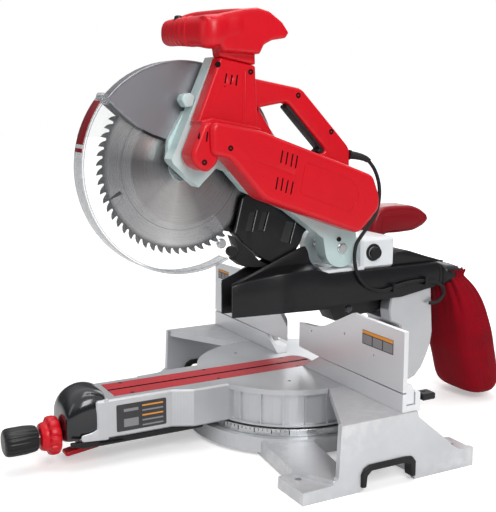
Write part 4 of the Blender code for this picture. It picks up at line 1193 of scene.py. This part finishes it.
def arm_end():
    """A glossy domed shroud over the arm's end, the silver tongue that wraps it, and the cover's lips."""
    stations = [
        (-446.0, 33, 44, 96, 2.6), (-444.5, 38, 42.6, 103, 2.8), (-440, 42, 42, 112, 3.0),
        (-432, 45.4, 42, 120.5, 3.2), (-422, 47.2, 42, 126.5, 3.4), (-411, 48, 42, 130, 3.6),
        (-400, 48, 42, 131, 3.8), (-389, 48, 42, 129, 4.0), (-378.5, 47.6, 44, 124.5, 4.2),
        (-377, 46.4, 46, 122.8, 4.2),
    ]
    rings = []
    for y, half, low, high, power in stations:
        ring = []
        for k in range(56):
            c, s = oval(k, 56, power)
            z = (low + high) / 2 + (high - low) / 2 * s
            lean = 1 - 0.10 * max(0.0, (z - 84) / 47) ** 2
            ring.append((half * c * lean, y, z))
        rings.append(ring)
    dome = subdivide(loft("arm_end_dome", rings), 50)
    place(dome, "turntable", "black_plastic", GLOSS_BLACK, ["arm_end_shroud"])
    tongue = [
        (-376, 118), (-381, 116), (-386, 108), (-386, 84), (-390, 72), (-398, 65), (-410, 61.5), (-424, 60.5),
        (-424, 49), (-376, 45.5),
    ]
    lip = [(-441, 48.6), (-394, 47.6), (-392, 41.4), (-350, 40.2), (-350, 36.6), (-420, 38), (-441, 43)]
    for side, name in ((1, "right"), (-1, "left")):
        low, high = sorted((side * 46.6, side * 49.8))
        strap = slab("arm_tongue_" + name, soften(tongue, 5, 4), "YZ", low, high, 1.4)
        place(strap, "turntable", "silver_paint", SILVER)
        low, high = sorted((side * 40, side * 48.6))
        rim = slab("arm_cover_lip_" + name, soften(lip, 2.5), "YZ", low, high, 1.4)
        place(rim, "turntable", "black_plastic", BLACK)
    label()


def label():
    """The arm's blank label panel: bands and boxes with no lettering."""
    panel = slab("arm_label", soften(box(-363, -273, 56, 103), 3), "YZ", 49.9, 50.5, 0.2)
    place(panel, "turntable", "black_plastic", LABEL)
    bars = [(-350, 92, 26, 5, GREY), (-350, 70, 26, 14, GREY)]
    bars += [(-317, 96 - 8.6 * k, 38, 2.6, ORANGE if k in (0, 2) else GREY) for k in range(5)]
    for k, (y, z, wide, tall, finish) in enumerate(bars):
        outline = box(y, y + wide, z - tall / 2, z + tall / 2)
        bar = slab("arm_label_bar_%d" % k, outline, "YZ", 50.3, 50.7, 0.1)
        place(bar, "turntable", "black_plastic", finish)


def fence_labels():
    """A dark tag on each upper fence, with an orange band over three grey boxes."""
    def patch(name, corners, low, high, body, finish):
        piece = slab(name, box(*corners), "XZ", FENCE_FACE + low, FENCE_FACE + high, 0.1)
        place(piece, body, "black_plastic", finish)

    for side, x0, x1, z0, z1 in (("right", 222, 306, 203, 227), ("left", -316, -268, 222, 242)):
        name, body = "fence_label_" + side, "upper_fence_" + side
        top = z1 - 0.24 * (z1 - z0)
        patch(name, (x0, x1, z0, z1), -0.35, 0.1, body, LABEL)
        patch(name + "_band", (x0 + 0.5, x1 - 0.5, top, z1 - 0.5), -0.55, -0.2, body, ORANGE)
        for k in range(3):
            a = x0 + 1.5 + k * (x1 - x0) / 3
            b = a + (x1 - x0) / 3 - 3
            patch(name + "_box_%d" % k, (a, b, z0 + 1.5, top - 1.5), -0.55, -0.2, body, GREY)


def plate_screws():
    """Three small screws along each kerf plate."""
    profile = [(0, 114.0), (1.2, 114.0), (1.4, 114.6), (3.6, 114.7), (4.2, 114.3), (4.2, 112.5), (0, 112.5)]
    for side in (1, -1):
        for k, y in enumerate((-326, -163, 2)):
            head = lathe("kerf_screw_%d_%d" % (side, k), "Z", (side * 30, y), profile, 24)
            place(head, "turntable", "black_plastic", BLACK)


def kerf_painted_shadow():
    """Dark walls inside the kerf, seen between the two plates: a painted shadow in the slot."""
    for side, name in ((1, "right"), (-1, "left")):
        x0, x1 = sorted((side * 1.8, side * 2.95))
        wall = slab("kerf_painted_shadow_" + name, box(x0, x1, -359, 44), "XY", 98, 114.4, 0.2)
        place(wall, "turntable", "kerf_red", SHADE_AND_SCREW_BLACK)


def scale_marks():
    """A mark each 2.5 degrees round the silver scale under the drum, longer each 10 degrees."""
    face, top = 178.1, 45.4
    bm = bmesh.new()
    for k in range(-24, 25):
        thick, wide, tall = (0.5, 1.6, 8.0) if k % 4 == 0 else (0.5, 0.7, 4.5)
        made = bmesh.ops.create_cube(bm, size=1.0)["verts"]
        bmesh.ops.scale(bm, vec=(thick * MM, wide * MM, tall * MM), verts=made)
        bmesh.ops.translate(bm, vec=(face * MM, 0, (top - tall / 2) * MM), verts=made)
        turn = Matrix.Rotation(math.radians(-90 + 2.5 * k), 4, "Z")
        bmesh.ops.transform(bm, matrix=turn, verts=made)
    place(new_mesh_object("scale_marks", bm), "base", "black_plastic", BLACK)


for build in (
    blade, lower_guard, guard_trim, motor, column, carry_handle, top_handle, case_lug, deflector, chute,
    hinge_details, spring, elbow, rear_cover, bag, leads, knob_and_ring, arm_end, fence_labels, plate_screws,
    kerf_painted_shadow, scale_marks,
):
    build()
